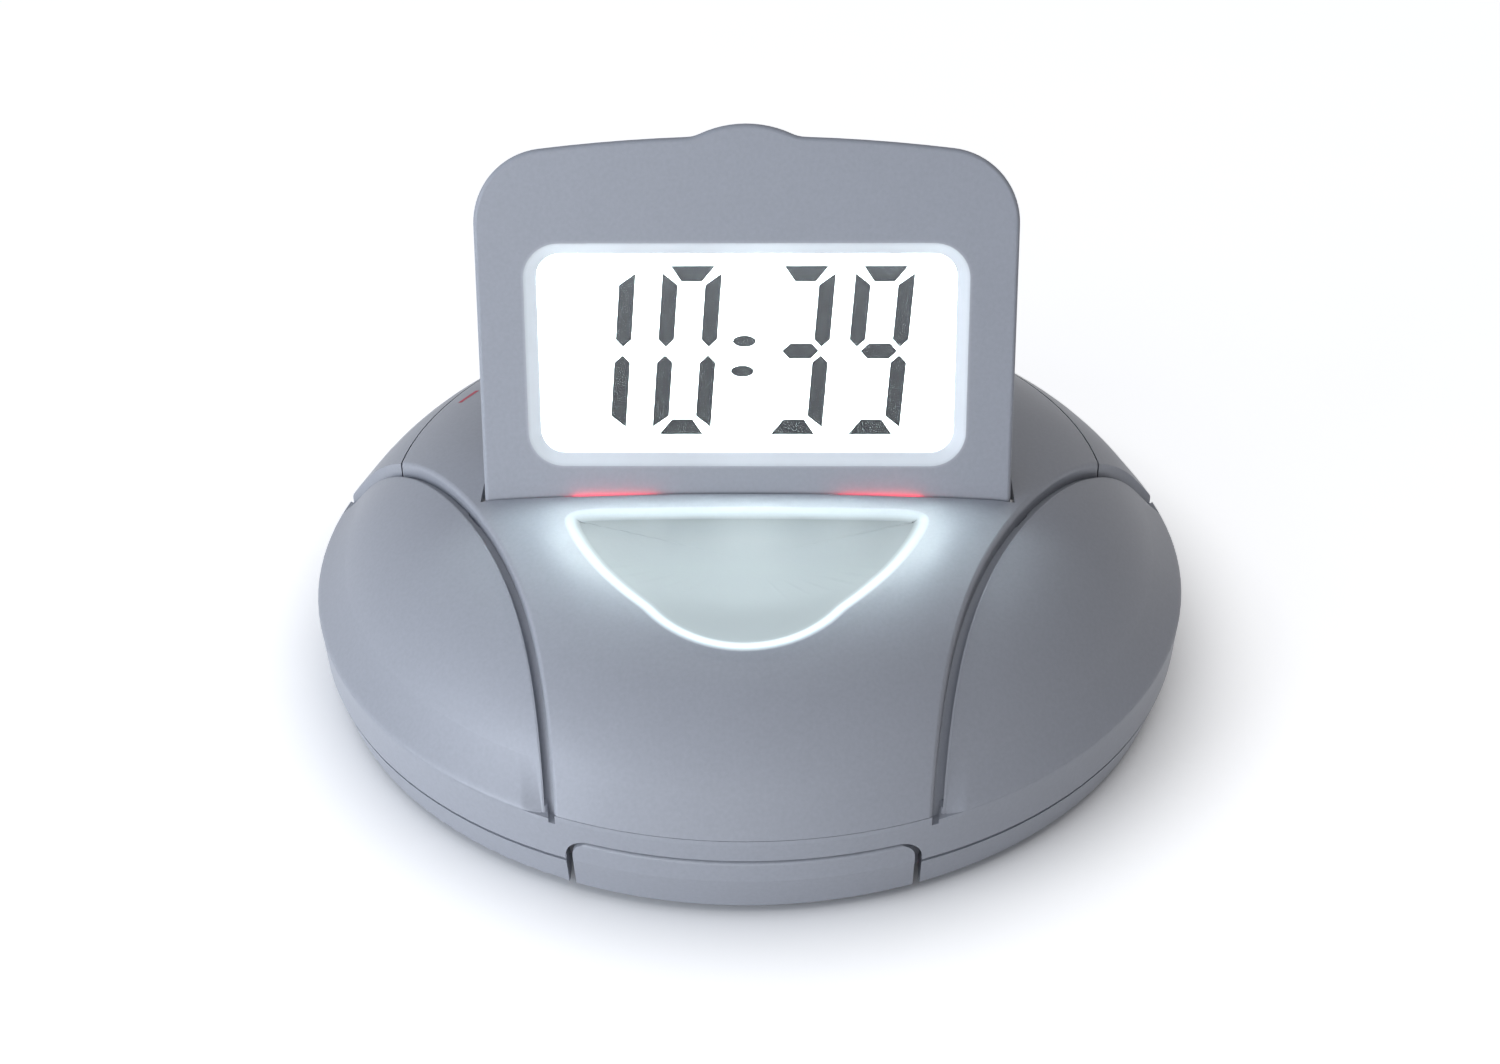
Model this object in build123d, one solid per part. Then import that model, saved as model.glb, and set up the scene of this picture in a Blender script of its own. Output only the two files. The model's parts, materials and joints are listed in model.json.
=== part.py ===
from build123d import *
from math import atan2, cos, hypot, pi, radians, sin, sqrt, tan
import os

# Bed shaker alarm clock: a round base with a flip-up display. Millimetres and degrees, +Z up, front at -Y.
# The origin is on the table, under the middle of the round base.

# Outer form of the base, a body of revolution
BASE_RADIUS = 55.0
BASE_HEIGHT = 27.2
RIM_HEIGHT = 11.4
PARTING_HEIGHT = 5.4
PARTING_INSET = 0.3
BOTTOM_INSET = 1.8
BOTTOM_ROUND = 1.2
RIM_ROUND = 1.5
FLANK_ANGLE = 52.0
SHOULDER_RADIUS = 28.0
CROWN_RADIUS = 600.0
PARTING_GROOVE = 0.5
PARTING_GROOVE_DEPTH = 0.6

# Sizes that keep their share of the base radius
SEAM_SHARE = 0.8145
PAD_ARC_SHARE = 1.745
WAIST_SHARE = 0.368
SCOOP_WIDTH_SHARE = 0.409
SCOOP_LENGTH_SHARE = 0.458
SLOT_SHARE = 0.2055
DISPLAY_WIDTH_SHARE = 1.156
DISPLAY_HEIGHT_SHARE = 0.7736

# Shells of the base
WALL = 2.0
FLOOR = 2.4
COVER_WALL = 1.7
LEDGE_WIDTH = 2.5
SEAM_GAP = 0.1
TONGUE_WALL = 1.1
TONGUE_HEIGHT = 1.8
TONGUE_GAP = 0.2

# Sunk side pads and the groove that bounds them
PAD_SINK = 0.8
PAD_ARC_AHEAD = 6.0
GROOVE_WIDTH = 0.7
COVER_EDGE_ROUND = 0.6
COVER_CORNER = 1.0
PAD_EDGE_ROUND = 0.4

# Scoop in the band, in front of the slot
SCOOP_DEPTH = 1.3
SCOOP_BACKING = 1.4
SCOOP_LAND = 2.6
SCOOP_HIP = (0.87, 0.32)
SCOOP_CHEEK = (0.51, 0.76)
SCOOP_CORNER = 2.0
SCOOP_RIM_ROUND = 0.7

# Flip-up display, measured along its face from the level of the slot
SLOT_GAP = 0.4
DISPLAY_DEPTH = 9.0
DISPLAY_DRAFT = 8.0
DISPLAY_LEAN = 16.3
DISPLAY_SPLIT = 4.6
DISPLAY_WALL = 1.6
DISPLAY_ARCH_RADIUS = 200.0
DISPLAY_CORNER = 9.0
DISPLAY_EDGE_ROUND = 0.5
DISPLAY_BACK_ROUND = 1.5
DISPLAY_POST_RADIUS = 2.4
TAB_RISE = 1.4
TAB_RADIUS = 12.8
TAB_BLEND = 4.0
BEZEL_SIDE = 5.7
BEZEL_TOP = 12.4
WINDOW_CORNER = 4.2
WINDOW_FOOT = 3.25
WINDOW_BEVEL = 1.4
WINDOW_BEVEL_DEPTH = 1.1
LENS_THICKNESS = 1.0
LENS_LAP = 0.7
LCD_THICKNESS = 2.0
LCD_LAP = 1.2
LCD_CONTACT_EDGE = 3.6
DIFFUSER_THICKNESS = 1.4
DISPLAY_PCB_THICKNESS = 1.0
PLATE_CORNER = 0.5
STACK_GAP = 0.05

# Hinge of the display
HINGE_DROP = 3.2
HINGE_DEPTH = 2.5
HINGE_PIN_RADIUS = 1.5
HINGE_PIN_IN_DISPLAY = 6.0
HINGE_CLEARANCE = 0.05
HINGE_HEEL_ROUND = 3.0
POCKET_GAP = 0.4
POCKET_WALL = 1.5

# Alarm lamps under the slot lip
LAMP_BAR_LENGTH = 10.0
LAMP_BAR_DEPTH = 1.2
LAMP_BAR_TOP = 0.6
LAMP_BAR_HEIGHT = 4.3
LAMP_CHIP = 2.0

# Front press bar
SNOOZE_WIDTH = 37.4
SNOOZE_CORNER = 2.0
SNOOZE_EDGE_ROUND = 0.4
SNOOZE_TOP = 2.8
SNOOZE_FOOT = 0.4
SNOOZE_WALL = 2.0
SNOOZE_GAP = 0.4
SNOOZE_SIDE_GAP = 0.8
SNOOZE_TRAVEL = 1.0
SNOOZE_FLANGE = 1.0
SNOOZE_FLANGE_LAP = 1.4
SNOOZE_POST_WIDTH = 5.0
SNOOZE_PIN_SPACING = 28.0
SNOOZE_PIN_RADIUS = 1.0
SNOOZE_GUIDE = 1.6

# Small switches
SWITCH_WIDTH = 6.0
SWITCH_HEIGHT = 3.2
SWITCH_PLUNGER_RADIUS = 1.4
SWITCH_PLUNGER_PROUD = 1.2
SWITCH_PLUNGER_SUNK = 0.5
SWITCH_BORE_CLEARANCE = 0.1

# Setting keys in the rear rim
KEY_COUNT = 4
KEY_PITCH = 8.0
KEY_WIDTH = 6.2
KEY_HEIGHT = 4.2
KEY_CORNER = 1.6
KEY_CORNER_SHARE = 0.45
KEY_PROUD = 0.8
KEY_GAP = 0.2
KEY_TRAVEL = 0.6
KEY_FLANGE = 0.8
KEY_FLANGE_LAP = 0.5
PANEL_UP_SLOPE = 5.0
PANEL_SINK = 2.2
PANEL_HEIGHT = 7.2
PANEL_WIDTH = 36.0
PANEL_WALL = 1.8
PANEL_MARGIN = 1.4

# Mode slide switch in the rear left rim
MODE_AZIMUTH = 155.0
MODE_SINK = 2.0
MODE_PANEL_LENGTH = 12.6
MODE_PANEL_HEIGHT = 6.0
MODE_TRAVEL = 3.0
MODE_KNOB_LENGTH = 5.0
MODE_KNOB_WIDTH = 4.4
MODE_KNOB_PROUD = 1.6
MODE_STEM_LENGTH = 3.4
MODE_STEM_WIDTH = 2.0
MODE_GAP = 0.3
MODE_RIBS = 3

# Battery box, four small cylindrical cells side by side
CELL_COUNT = 4
CELL_RADIUS = 5.25
CELL_LENGTH = 44.5
CELL_NUB_RADIUS = 1.9
CELL_NUB_LENGTH = 1.2
CELL_EDGE_ROUND = 0.5
CELL_PITCH = 11.0
CELL_GAP = 0.15
CONTACT_ROOM = 2.4
CONTACT_SHEET = 0.4
CONTACT_WIDTH = 7.0
BOX_WALL = 1.2
BOX_ROOM = 1.5
DOOR_THICKNESS = 1.6
DOOR_LAP = 1.6
DOOR_GAP = 0.2
DOOR_CORNER = 3.0

# Shaking motor
MOTOR_RADIUS = 9.5
MOTOR_FLAT = 7.2
MOTOR_LENGTH = 25.0
MOTOR_START_X = -16.0
MOTOR_CAP_LENGTH = 2.5
MOTOR_SEAT = 0.4
SHAFT_RADIUS = 1.0
SHAFT_OUT = 10.5
SHAFT_TIP = 1.0
SHAFT_CLEARANCE = 0.05
WEIGHT_RADIUS = 8.0
WEIGHT_HUB_RADIUS = 3.2
WEIGHT_LENGTH = 7.0
WEIGHT_ROOM = 1.5
SADDLE_LENGTH = 6.0
SADDLE_EAR = 3.2
CLAMP_SHEET = 0.8
CLAMP_GAP = 0.05

# Boards and what is on them
PCB_THICKNESS = 1.2
PCB_LIFT = 2.8
MAIN_PCB_LENGTH = 34.0
MAIN_PCB_Y = -3.0
MAIN_PCB_RIM = 8.95
MAIN_PCB_ROOM = 3.7
SNOOZE_PCB_WIDTH = 22.0
SNOOZE_PCB_DEPTH = 6.5
POST_RADIUS = 2.0
CHIP_SIZE = 10.0
CHIP_HEIGHT = 1.8
CRYSTAL_RADIUS = 1.1
CRYSTAL_LENGTH = 6.0
CAPACITOR_RADIUS = 2.5
CAPACITOR_HEIGHT = 7.0
CAPACITOR_EDGE = 7.0
BUZZER_HEIGHT = 5.0
BUZZER_RIM = 6.8
BUZZER_ROOM = 4.35
GRILLE_HOLE_RADIUS = 0.9
GRILLE_RING_RADIUS = 4.5
GRILLE_HOLES = 8

# Fasteners and feet
HOUSING_SCREW_INSET = 8.3
HOUSING_SCREW_RADIUS = 1.25
HOUSING_SCREW_HEAD = 2.4
HOUSING_SCREW_HEAD_HEIGHT = 1.6
HOUSING_SCREW_GRIP = 2.6
HOUSING_SCREW_BITE = 7.0
BOSS_WALL = 1.9
BOSS_TOP = 8.0
SMALL_SCREW_RADIUS = 0.9
SMALL_SCREW_HEAD = 1.6
SMALL_SCREW_HEAD_HEIGHT = 1.1
SMALL_SCREW_LENGTH = 4.0
FOOT_RADIUS = 4.5
FOOT_PROUD = 0.8
FOOT_SUNK = 0.8
FOOT_INSET = 10.0
FOOT_AZIMUTHS = (30.0, 150.0, 210.0, 330.0)

# Sizes that follow from the base radius
SEAM_RADIUS = SEAM_SHARE * BASE_RADIUS
PAD_ARC_RADIUS = PAD_ARC_SHARE * BASE_RADIUS
WAIST_HALF_WIDTH = WAIST_SHARE * BASE_RADIUS
SCOOP_HALF_WIDTH = SCOOP_WIDTH_SHARE * BASE_RADIUS
SCOOP_LENGTH = SCOOP_LENGTH_SHARE * BASE_RADIUS
SLOT_SETBACK = SLOT_SHARE * BASE_RADIUS
DISPLAY_WIDTH = DISPLAY_WIDTH_SHARE * BASE_RADIUS
DISPLAY_HEIGHT = DISPLAY_HEIGHT_SHARE * BASE_RADIUS
WINDOW_WIDTH = DISPLAY_WIDTH - 2 * BEZEL_SIDE
WINDOW_HEIGHT = DISPLAY_HEIGHT - WINDOW_FOOT - BEZEL_TOP
LAMP_SPACING = DISPLAY_WIDTH / 2
HOUSING_SCREW_PLACE = (BASE_RADIUS - HOUSING_SCREW_INSET) / sqrt(2)
FOOT_RING_RADIUS = BASE_RADIUS - FOOT_INSET

# Heights of the base
UNDERSIDE_Z = FOOT_PROUD
FLOOR_Z = UNDERSIDE_Z + FLOOR
PARTING_Z = UNDERSIDE_Z + PARTING_HEIGHT
RIM_Z = UNDERSIDE_Z + RIM_HEIGHT
TOP_Z = UNDERSIDE_Z + BASE_HEIGHT
CROWN_Z = TOP_Z - CROWN_RADIUS
FLANK_OUT = sin(radians(FLANK_ANGLE))
FLANK_UP = cos(radians(FLANK_ANGLE))
LEDGE_SINK = COVER_WALL + SEAM_GAP
SHELL_INSET = PAD_SINK + WALL
LOW = (Align.CENTER, Align.CENTER, Align.MIN)

# How near an edge lies to the place it is looked for
NEAR = 0.02


def rod(radius, low, high, x=0.0, y=0.0):
    """Upright cylinder between two heights."""
    return Pos(x, y, low) * Cylinder(radius, high - low, align=LOW)


def block(x, y, z):
    """Box between three pairs of limits."""
    middle = Pos((x[0] + x[1]) / 2, (y[0] + y[1]) / 2, (z[0] + z[1]) / 2)
    return middle * Box(x[1] - x[0], y[1] - y[0], z[1] - z[0])


def lying_rod(radius, low, high, y, z):
    """Cylinder along X between two places."""
    return Pos(low, y, z) * Rot(0, 90, 0) * Cylinder(radius, high - low, align=LOW)


def prism(plan, low, high):
    """Plan outline pulled up between two heights."""
    return extrude(Pos(0, 0, low) * plan, high - low)


def group(solids):
    """Several separate solids that share one node."""
    return Compound(children=[piece.solid() for piece in solids])


# Profile of the dome: straight flank, shoulder arc and flat crown, tangent to each other
def shoulder_centre():
    """Centre of the shoulder arc, in radius and height."""
    reach = CROWN_RADIUS - SHOULDER_RADIUS
    radius = BASE_RADIUS - SHOULDER_RADIUS * FLANK_OUT
    height = RIM_Z - SHOULDER_RADIUS * FLANK_UP - CROWN_Z
    half = height * FLANK_OUT - radius * FLANK_UP
    slide = sqrt(half**2 - radius**2 - height**2 + reach**2) - half
    return radius - slide * FLANK_UP, CROWN_Z + height + slide * FLANK_OUT


SHOULDER_R, SHOULDER_Z = shoulder_centre()
CROWN_ANGLE = atan2(SHOULDER_Z - CROWN_Z, SHOULDER_R)
FLANK_NORMAL = atan2(FLANK_UP, FLANK_OUT)


def dome_height(radius):
    """Height of the outer dome at a distance from the middle."""
    if radius >= SHOULDER_R + SHOULDER_RADIUS * FLANK_OUT:
        return RIM_Z + (BASE_RADIUS - radius) * FLANK_OUT / FLANK_UP
    if radius >= CROWN_RADIUS * cos(CROWN_ANGLE):
        return SHOULDER_Z + sqrt(SHOULDER_RADIUS**2 - (radius - SHOULDER_R) ** 2)
    return CROWN_Z + sqrt(CROWN_RADIUS**2 - radius**2)


def rim_radius(height):
    """Outer radius of the rim below the dome."""
    parting = BASE_RADIUS - PARTING_INSET
    if height < PARTING_Z:
        share = (height - UNDERSIDE_Z) / PARTING_HEIGHT
        return BASE_RADIUS - BOTTOM_INSET + share * (BOTTOM_INSET - PARTING_INSET)
    return parting + PARTING_INSET * (height - PARTING_Z) / (RIM_Z - PARTING_Z)


def polar(radius, height, reach, angle):
    """Point of the profile plane at a reach and angle from a centre."""
    return (radius + reach * cos(angle), 0, height + reach * sin(angle))


def dome_solid(inset, foot):
    """Solid under the dome drawn in by inset, on a foot given as points from the axis outwards."""
    shoulder = SHOULDER_RADIUS - inset
    crown = CROWN_RADIUS - inset
    start = (BASE_RADIUS - inset * FLANK_OUT, 0, RIM_Z - inset * FLANK_UP)
    flank_end = polar(SHOULDER_R, SHOULDER_Z, shoulder, FLANK_NORMAL)
    bend = polar(SHOULDER_R, SHOULDER_Z, shoulder, (FLANK_NORMAL + CROWN_ANGLE) / 2)
    crown_end = polar(SHOULDER_R, SHOULDER_Z, shoulder, CROWN_ANGLE)
    crown_bend = polar(0, CROWN_Z, crown, (CROWN_ANGLE + pi / 2) / 2)
    top = (0, 0, CROWN_Z + crown)
    edges = Polyline(top, *[(r, 0, z) for r, z in foot], start, flank_end)
    edges += ThreePointArc(flank_end, bend, crown_end)
    edges += ThreePointArc(crown_end, crown_bend, top)
    return revolve(make_face(edges), Axis.Z)


def base_solid(inset):
    """Whole upper form, its dome drawn in by inset while the skirt keeps its radius."""
    foot = [(0, PARTING_Z), (rim_radius(PARTING_Z), PARTING_Z)]
    if inset > 0:
        brow = RIM_Z - inset * FLANK_UP
        foot.append((rim_radius(brow), brow))
    return dome_solid(inset, foot)


def cavity_solid(inset):
    """Space inside the upper housing."""
    low = PARTING_Z - WALL
    return dome_solid(inset, [(0, low), (rim_radius(PARTING_Z) - WALL, low)])


def near_dome(edge, inset):
    """Whether the middle of an edge lies on the dome drawn in by inset."""
    middle = edge @ 0.5
    radius = hypot(middle.X, middle.Y)
    if radius > BASE_RADIUS - RIM_ROUND:
        return False
    if radius < SHOULDER_R + SHOULDER_RADIUS * FLANK_OUT:
        if radius >= CROWN_RADIUS * cos(CROWN_ANGLE):
            reach = hypot(radius - SHOULDER_R, middle.Z - SHOULDER_Z)
            return abs(reach - SHOULDER_RADIUS + inset) < NEAR
        return abs(hypot(radius, middle.Z - CROWN_Z) - CROWN_RADIUS + inset) < NEAR
    depth = (BASE_RADIUS - radius) * FLANK_OUT + (RIM_Z - middle.Z) * FLANK_UP
    return abs(depth - inset) < NEAR


# Plan outlines of the top
def pad_circles(radius):
    """Two large circles whose insides are the side pads."""
    reach = WAIST_HALF_WIDTH + PAD_ARC_RADIUS
    ahead = BASE_RADIUS + PAD_ARC_AHEAD
    return Pos(-reach, -ahead) * Circle(radius) + Pos(reach, -ahead) * Circle(radius)


def cover_plan(seam, groove):
    """Waisted band and disc, drawn in by seam at the disc and by groove at the band."""
    length = BASE_RADIUS + PAD_ARC_AHEAD
    band = Pos(0, -length / 2) * Rectangle(2 * SEAM_RADIUS, length)
    return Circle(SEAM_RADIUS - seam) + band - pad_circles(PAD_ARC_RADIUS + groove)


def scoop_plan(grow=0.0):
    """Rounded shield in front of the slot."""
    rear = -SLOT_SETBACK - SCOOP_LAND + grow
    nose = rear - grow - SCOOP_LENGTH - grow
    wide = SCOOP_HALF_WIDTH + grow
    hip = (wide * SCOOP_HIP[0], rear + (nose - rear) * SCOOP_HIP[1])
    cheek = (wide * SCOOP_CHEEK[0], rear + (nose - rear) * SCOOP_CHEEK[1])
    right = ThreePointArc((wide, rear), hip, cheek)
    left = ThreePointArc((-cheek[0], cheek[1]), (-hip[0], hip[1]), (-wide, rear))
    front = ThreePointArc(cheek, (0, nose), (-cheek[0], cheek[1]))
    face = make_face(Line((-wide, rear), (wide, rear)) + right + front + left)
    return fillet(face.vertices().group_by(Axis.Y)[-1], SCOOP_CORNER)


# Display frame: X along the width, Y up the face, Z out of the face
LIP_Z = dome_height(SLOT_SETBACK)
FACE_Y = SLOT_GAP - SLOT_SETBACK
LEAN_OUT = sin(radians(DISPLAY_LEAN))
LEAN_UP = cos(radians(DISPLAY_LEAN))
DISPLAY_PLANE = Plane(origin=(0, FACE_Y, LIP_Z), x_dir=(1, 0, 0), z_dir=(0, -LEAN_UP, LEAN_OUT))
HINGE_Y = FACE_Y - HINGE_DROP * LEAN_OUT + HINGE_DEPTH * LEAN_UP
HINGE_Z = LIP_Z - HINGE_DROP * LEAN_UP - HINGE_DEPTH * LEAN_OUT
DISPLAY_FOOT = -HINGE_DROP - HINGE_DEPTH
WINDOW_MIDDLE = WINDOW_FOOT + WINDOW_HEIGHT / 2
CAVITY_FOOT = WINDOW_FOOT - LENS_LAP - STACK_GAP
STACK_LENS = DISPLAY_WALL + STACK_GAP
STACK_LCD = STACK_LENS + LENS_THICKNESS + STACK_GAP
STACK_DIFFUSER = STACK_LCD + LCD_THICKNESS + STACK_GAP
STACK_PCB = STACK_DIFFUSER + DIFFUSER_THICKNESS + STACK_GAP
CAVITY_DEPTH = STACK_PCB + DISPLAY_PCB_THICKNESS + STACK_GAP
POCKET_FRONT = HINGE_Y - HINGE_DEPTH - POCKET_GAP
POCKET_FLOOR = HINGE_Z - DISPLAY_DEPTH + HINGE_DEPTH - POCKET_GAP
POCKET_UNDERSIDE = POCKET_FLOOR - POCKET_WALL


def display_plan(grow=0.0, longer=0.0):
    """Face outline of the display, grown all round: arched top, round corners and a finger tab."""
    half = DISPLAY_WIDTH / 2 + grow
    low = DISPLAY_FOOT - grow - longer
    high = DISPLAY_HEIGHT + grow
    radius = DISPLAY_ARCH_RADIUS + grow
    shoulder = high - radius + sqrt(radius**2 - half**2)
    foot = Polyline((-half, shoulder), (-half, low), (half, low), (half, shoulder))
    arch = ThreePointArc((half, shoulder), (0, high), (-half, shoulder))
    face = make_face(foot + arch)
    face = fillet(face.vertices().group_by(Axis.Y)[-1], DISPLAY_CORNER + grow)
    face += Pos(0, DISPLAY_HEIGHT + TAB_RISE - TAB_RADIUS) * Circle(TAB_RADIUS + grow)
    tab = [v for v in face.vertices() if abs(v.X) < TAB_RADIUS and v.Y > high - TAB_RADIUS]
    return fillet(tab, TAB_BLEND - grow)


def display_profile():
    """Side outline of the display, rounded round the hinge at its foot."""
    tall = DISPLAY_HEIGHT + 2 * TAB_RISE
    face = make_face(
        Polyline(
            (0, DISPLAY_FOOT, 0),
            (0, DISPLAY_FOOT, -DISPLAY_DEPTH),
            (0, tall, -DISPLAY_DEPTH),
            (0, tall, 0),
            close=True,
        )
    )
    foot = face.vertices().group_by(Axis.Y)[0].sort_by(Axis.Z)
    face = fillet(foot[1], HINGE_DEPTH)
    foot = [v for v in face.vertices() if v.Z < NEAR - DISPLAY_DEPTH and v.Y < 0]
    return fillet(foot, HINGE_HEEL_ROUND)


def display_slab():
    """Whole outside of the display as one solid, in the display frame, drawn in towards its back."""
    slab = extrude(display_plan(0.0, DISPLAY_DEPTH), DISPLAY_DEPTH, dir=(0, 0, -1), taper=DISPLAY_DRAFT)
    around = [e for e in slab.edges() if (e @ 0.5).Y > DISPLAY_FOOT]
    slab = fillet([e for e in around if abs((e @ 0.5).Z) < NEAR], DISPLAY_EDGE_ROUND)
    around = [e for e in slab.edges() if (e @ 0.5).Y > DISPLAY_FOOT]
    slab = fillet([e for e in around if abs((e @ 0.5).Z + DISPLAY_DEPTH) < NEAR], DISPLAY_BACK_ROUND)
    return slab & extrude(display_profile(), DISPLAY_WIDTH, both=True)


def face_layer(width, height, middle, depth, thickness, corner):
    """Rounded plate of the display stack, behind the face by depth."""
    plate = Pos(0, middle, -depth - thickness) * RectangleRounded(width, height, corner)
    return extrude(plate, thickness)


def display_cavity():
    """Space inside the display for the glass, the light guide and the board."""
    inside = display_plan(-DISPLAY_WALL - CAVITY_DEPTH * tan(radians(DISPLAY_DRAFT)))
    keep = Pos(0, CAVITY_FOOT + DISPLAY_HEIGHT / 2) * Rectangle(DISPLAY_WIDTH, DISPLAY_HEIGHT)
    return extrude(Pos(0, 0, -CAVITY_DEPTH) * (inside & keep), CAVITY_DEPTH - DISPLAY_WALL)


def display_screw_places():
    """Four screws that hold the two halves of the display together."""
    x = DISPLAY_WIDTH / 2 - DISPLAY_CORNER
    high = WINDOW_FOOT - LENS_LAP + lcd_height() + DISPLAY_POST_RADIUS + POCKET_GAP
    low = DISPLAY_FOOT / 2
    return [(-x, high), (x, high), (-x / 2, low), (x / 2, low)]


def display_posts():
    """Posts inside the two upper corners of the display."""
    left, right = [(x, y) for x, y in display_screw_places() if y > 0]
    posts = rod(DISPLAY_POST_RADIUS, -CAVITY_DEPTH, -DISPLAY_WALL, *left)
    return posts + rod(DISPLAY_POST_RADIUS, -CAVITY_DEPTH, -DISPLAY_WALL, *right)


def display_screw_holes():
    """Clearance for the display screws, with sunk heads at the rear."""
    holes = []
    for x, y in display_screw_places():
        seat = -DISPLAY_DEPTH + display_head_depth()
        holes.append(rod(SMALL_SCREW_HEAD + SEAM_GAP, -DISPLAY_DEPTH, seat, x, y))
        holes.append(rod(SMALL_SCREW_RADIUS, seat, -DISPLAY_WALL, x, y))
    return holes


def display_head_depth():
    """How deep the heads of the display screws lie in the rear face."""
    return SMALL_SCREW_HEAD_HEIGHT + SEAM_GAP


def display_bezel():
    """Front half of the display, with the bevelled window."""
    half = extrude(Pos(0, 0, -DISPLAY_SPLIT) * Rectangle(3 * DISPLAY_WIDTH, 3 * DISPLAY_WIDTH), DISPLAY_SPLIT)
    shell = display_slab() & half
    shell -= display_cavity()
    shell += display_posts() & half
    outer = Pos(0, WINDOW_MIDDLE) * RectangleRounded(WINDOW_WIDTH, WINDOW_HEIGHT, WINDOW_CORNER)
    inner_size = (WINDOW_WIDTH - 2 * WINDOW_BEVEL, WINDOW_HEIGHT - 2 * WINDOW_BEVEL)
    inner = RectangleRounded(*inner_size, WINDOW_CORNER - WINDOW_BEVEL)
    sunk = Pos(0, WINDOW_MIDDLE, -WINDOW_BEVEL_DEPTH) * inner
    shell -= loft([outer.face(), sunk.face()])
    shell -= extrude(sunk, -DISPLAY_WALL)
    for hole in display_screw_holes():
        shell -= hole
    for side in (-1, 1):
        shell -= hinge_rod(HINGE_PIN_RADIUS, side, pin_inner_x(), DISPLAY_WIDTH)
    return DISPLAY_PLANE * shell


def display_back():
    """Rear half of the display."""
    depth = DISPLAY_DEPTH - DISPLAY_SPLIT
    half = extrude(Pos(0, 0, -DISPLAY_SPLIT) * Rectangle(3 * DISPLAY_WIDTH, 3 * DISPLAY_WIDTH), -depth)
    shell = display_slab() & half
    shell -= display_cavity()
    shell += display_posts() & half
    for hole in display_screw_holes():
        shell -= hole
    return DISPLAY_PLANE * shell


def hinge_rod(radius, side, near, far):
    """Rod on the hinge axis, in the display frame, from near to far on one side."""
    low, high = sorted((side * near, side * far))
    return lying_rod(radius, low, high, -HINGE_DROP, -HINGE_DEPTH)


def pin_inner_x():
    """Where a hinge pin ends inside the display."""
    return DISPLAY_WIDTH / 2 - HINGE_PIN_IN_DISPLAY


def hinge_pin(side):
    """Pin fixed in the display that turns in the wall of the pocket."""
    far = DISPLAY_WIDTH / 2 + POCKET_GAP + POCKET_WALL
    return DISPLAY_PLANE * hinge_rod(HINGE_PIN_RADIUS, side, pin_inner_x(), far)


def display_window():
    """Clear plate behind the bevel."""
    size = (WINDOW_WIDTH + 2 * LENS_LAP, WINDOW_HEIGHT + 2 * LENS_LAP)
    plate = face_layer(*size, WINDOW_MIDDLE, STACK_LENS, LENS_THICKNESS, WINDOW_CORNER)
    return DISPLAY_PLANE * plate


def lcd_height():
    """Height of the glass, with its contact edge above the picture."""
    return WINDOW_HEIGHT + LENS_LAP + LCD_CONTACT_EDGE


def lcd_panel():
    """Liquid crystal glass."""
    width = WINDOW_WIDTH + 2 * LCD_LAP
    middle = WINDOW_FOOT - LENS_LAP + lcd_height() / 2
    return DISPLAY_PLANE * face_layer(width, lcd_height(), middle, STACK_LCD, LCD_THICKNESS, PLATE_CORNER)


def diffuser_size():
    """Width and height of the light guide."""
    return WINDOW_WIDTH, WINDOW_HEIGHT


def backlight_diffuser():
    """Light guide behind the glass."""
    width, height = diffuser_size()
    plate = face_layer(width, height, WINDOW_MIDDLE, STACK_DIFFUSER, DIFFUSER_THICKNESS, PLATE_CORNER)
    return DISPLAY_PLANE * plate


def backlight_leds():
    """Two white lamps at the ends of the light guide."""
    width, height = diffuser_size()
    chip = DIFFUSER_THICKNESS
    place = width / 2 + chip / 2
    depth = -STACK_PCB + STACK_GAP + chip / 2
    lamps = []
    for side in (-1, 1):
        lamps.append(DISPLAY_PLANE * (Pos(side * place, WINDOW_MIDDLE, depth) * Box(chip, 2 * chip, chip)))
    return group(lamps)


def zebra_strip():
    """Rubber contact strip between the edge of the glass and the board."""
    low = WINDOW_FOOT + WINDOW_HEIGHT + LENS_LAP
    tall = LCD_CONTACT_EDGE - 2 * LENS_LAP
    middle = low + tall / 2
    size = (WINDOW_WIDTH - 2 * LCD_LAP, tall)
    strip = face_layer(*size, middle, STACK_DIFFUSER, DIFFUSER_THICKNESS, PLATE_CORNER)
    return DISPLAY_PLANE * strip


def display_pcb():
    """Board behind the light guide."""
    height = lcd_height()
    middle = WINDOW_FOOT - LENS_LAP + height / 2
    width = WINDOW_WIDTH + 2 * LCD_LAP
    return DISPLAY_PLANE * face_layer(width, height, middle, STACK_PCB, DISPLAY_PCB_THICKNESS, PLATE_CORNER)


def small_screw(length):
    """Pan head screw, its head seated at height zero and its shank going down."""
    return rod(SMALL_SCREW_RADIUS, -length, 0) + rod(SMALL_SCREW_HEAD, 0, SMALL_SCREW_HEAD_HEIGHT)


def display_screws():
    """Screws from the rear face of the display into its front half."""
    seat = -DISPLAY_DEPTH + display_head_depth()
    length = DISPLAY_DEPTH - DISPLAY_WALL - display_head_depth()
    screw = Rot(180, 0, 0) * small_screw(length)
    return group([DISPLAY_PLANE * (Pos(x, y, seat) * screw) for x, y in display_screw_places()])


# Middle piece of the top
def pocket_plan(grow):
    """Outline of the folded display, grown by a gap, seen from above."""
    return Pos(0, HINGE_Y + HINGE_DROP) * display_plan(grow)


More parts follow.
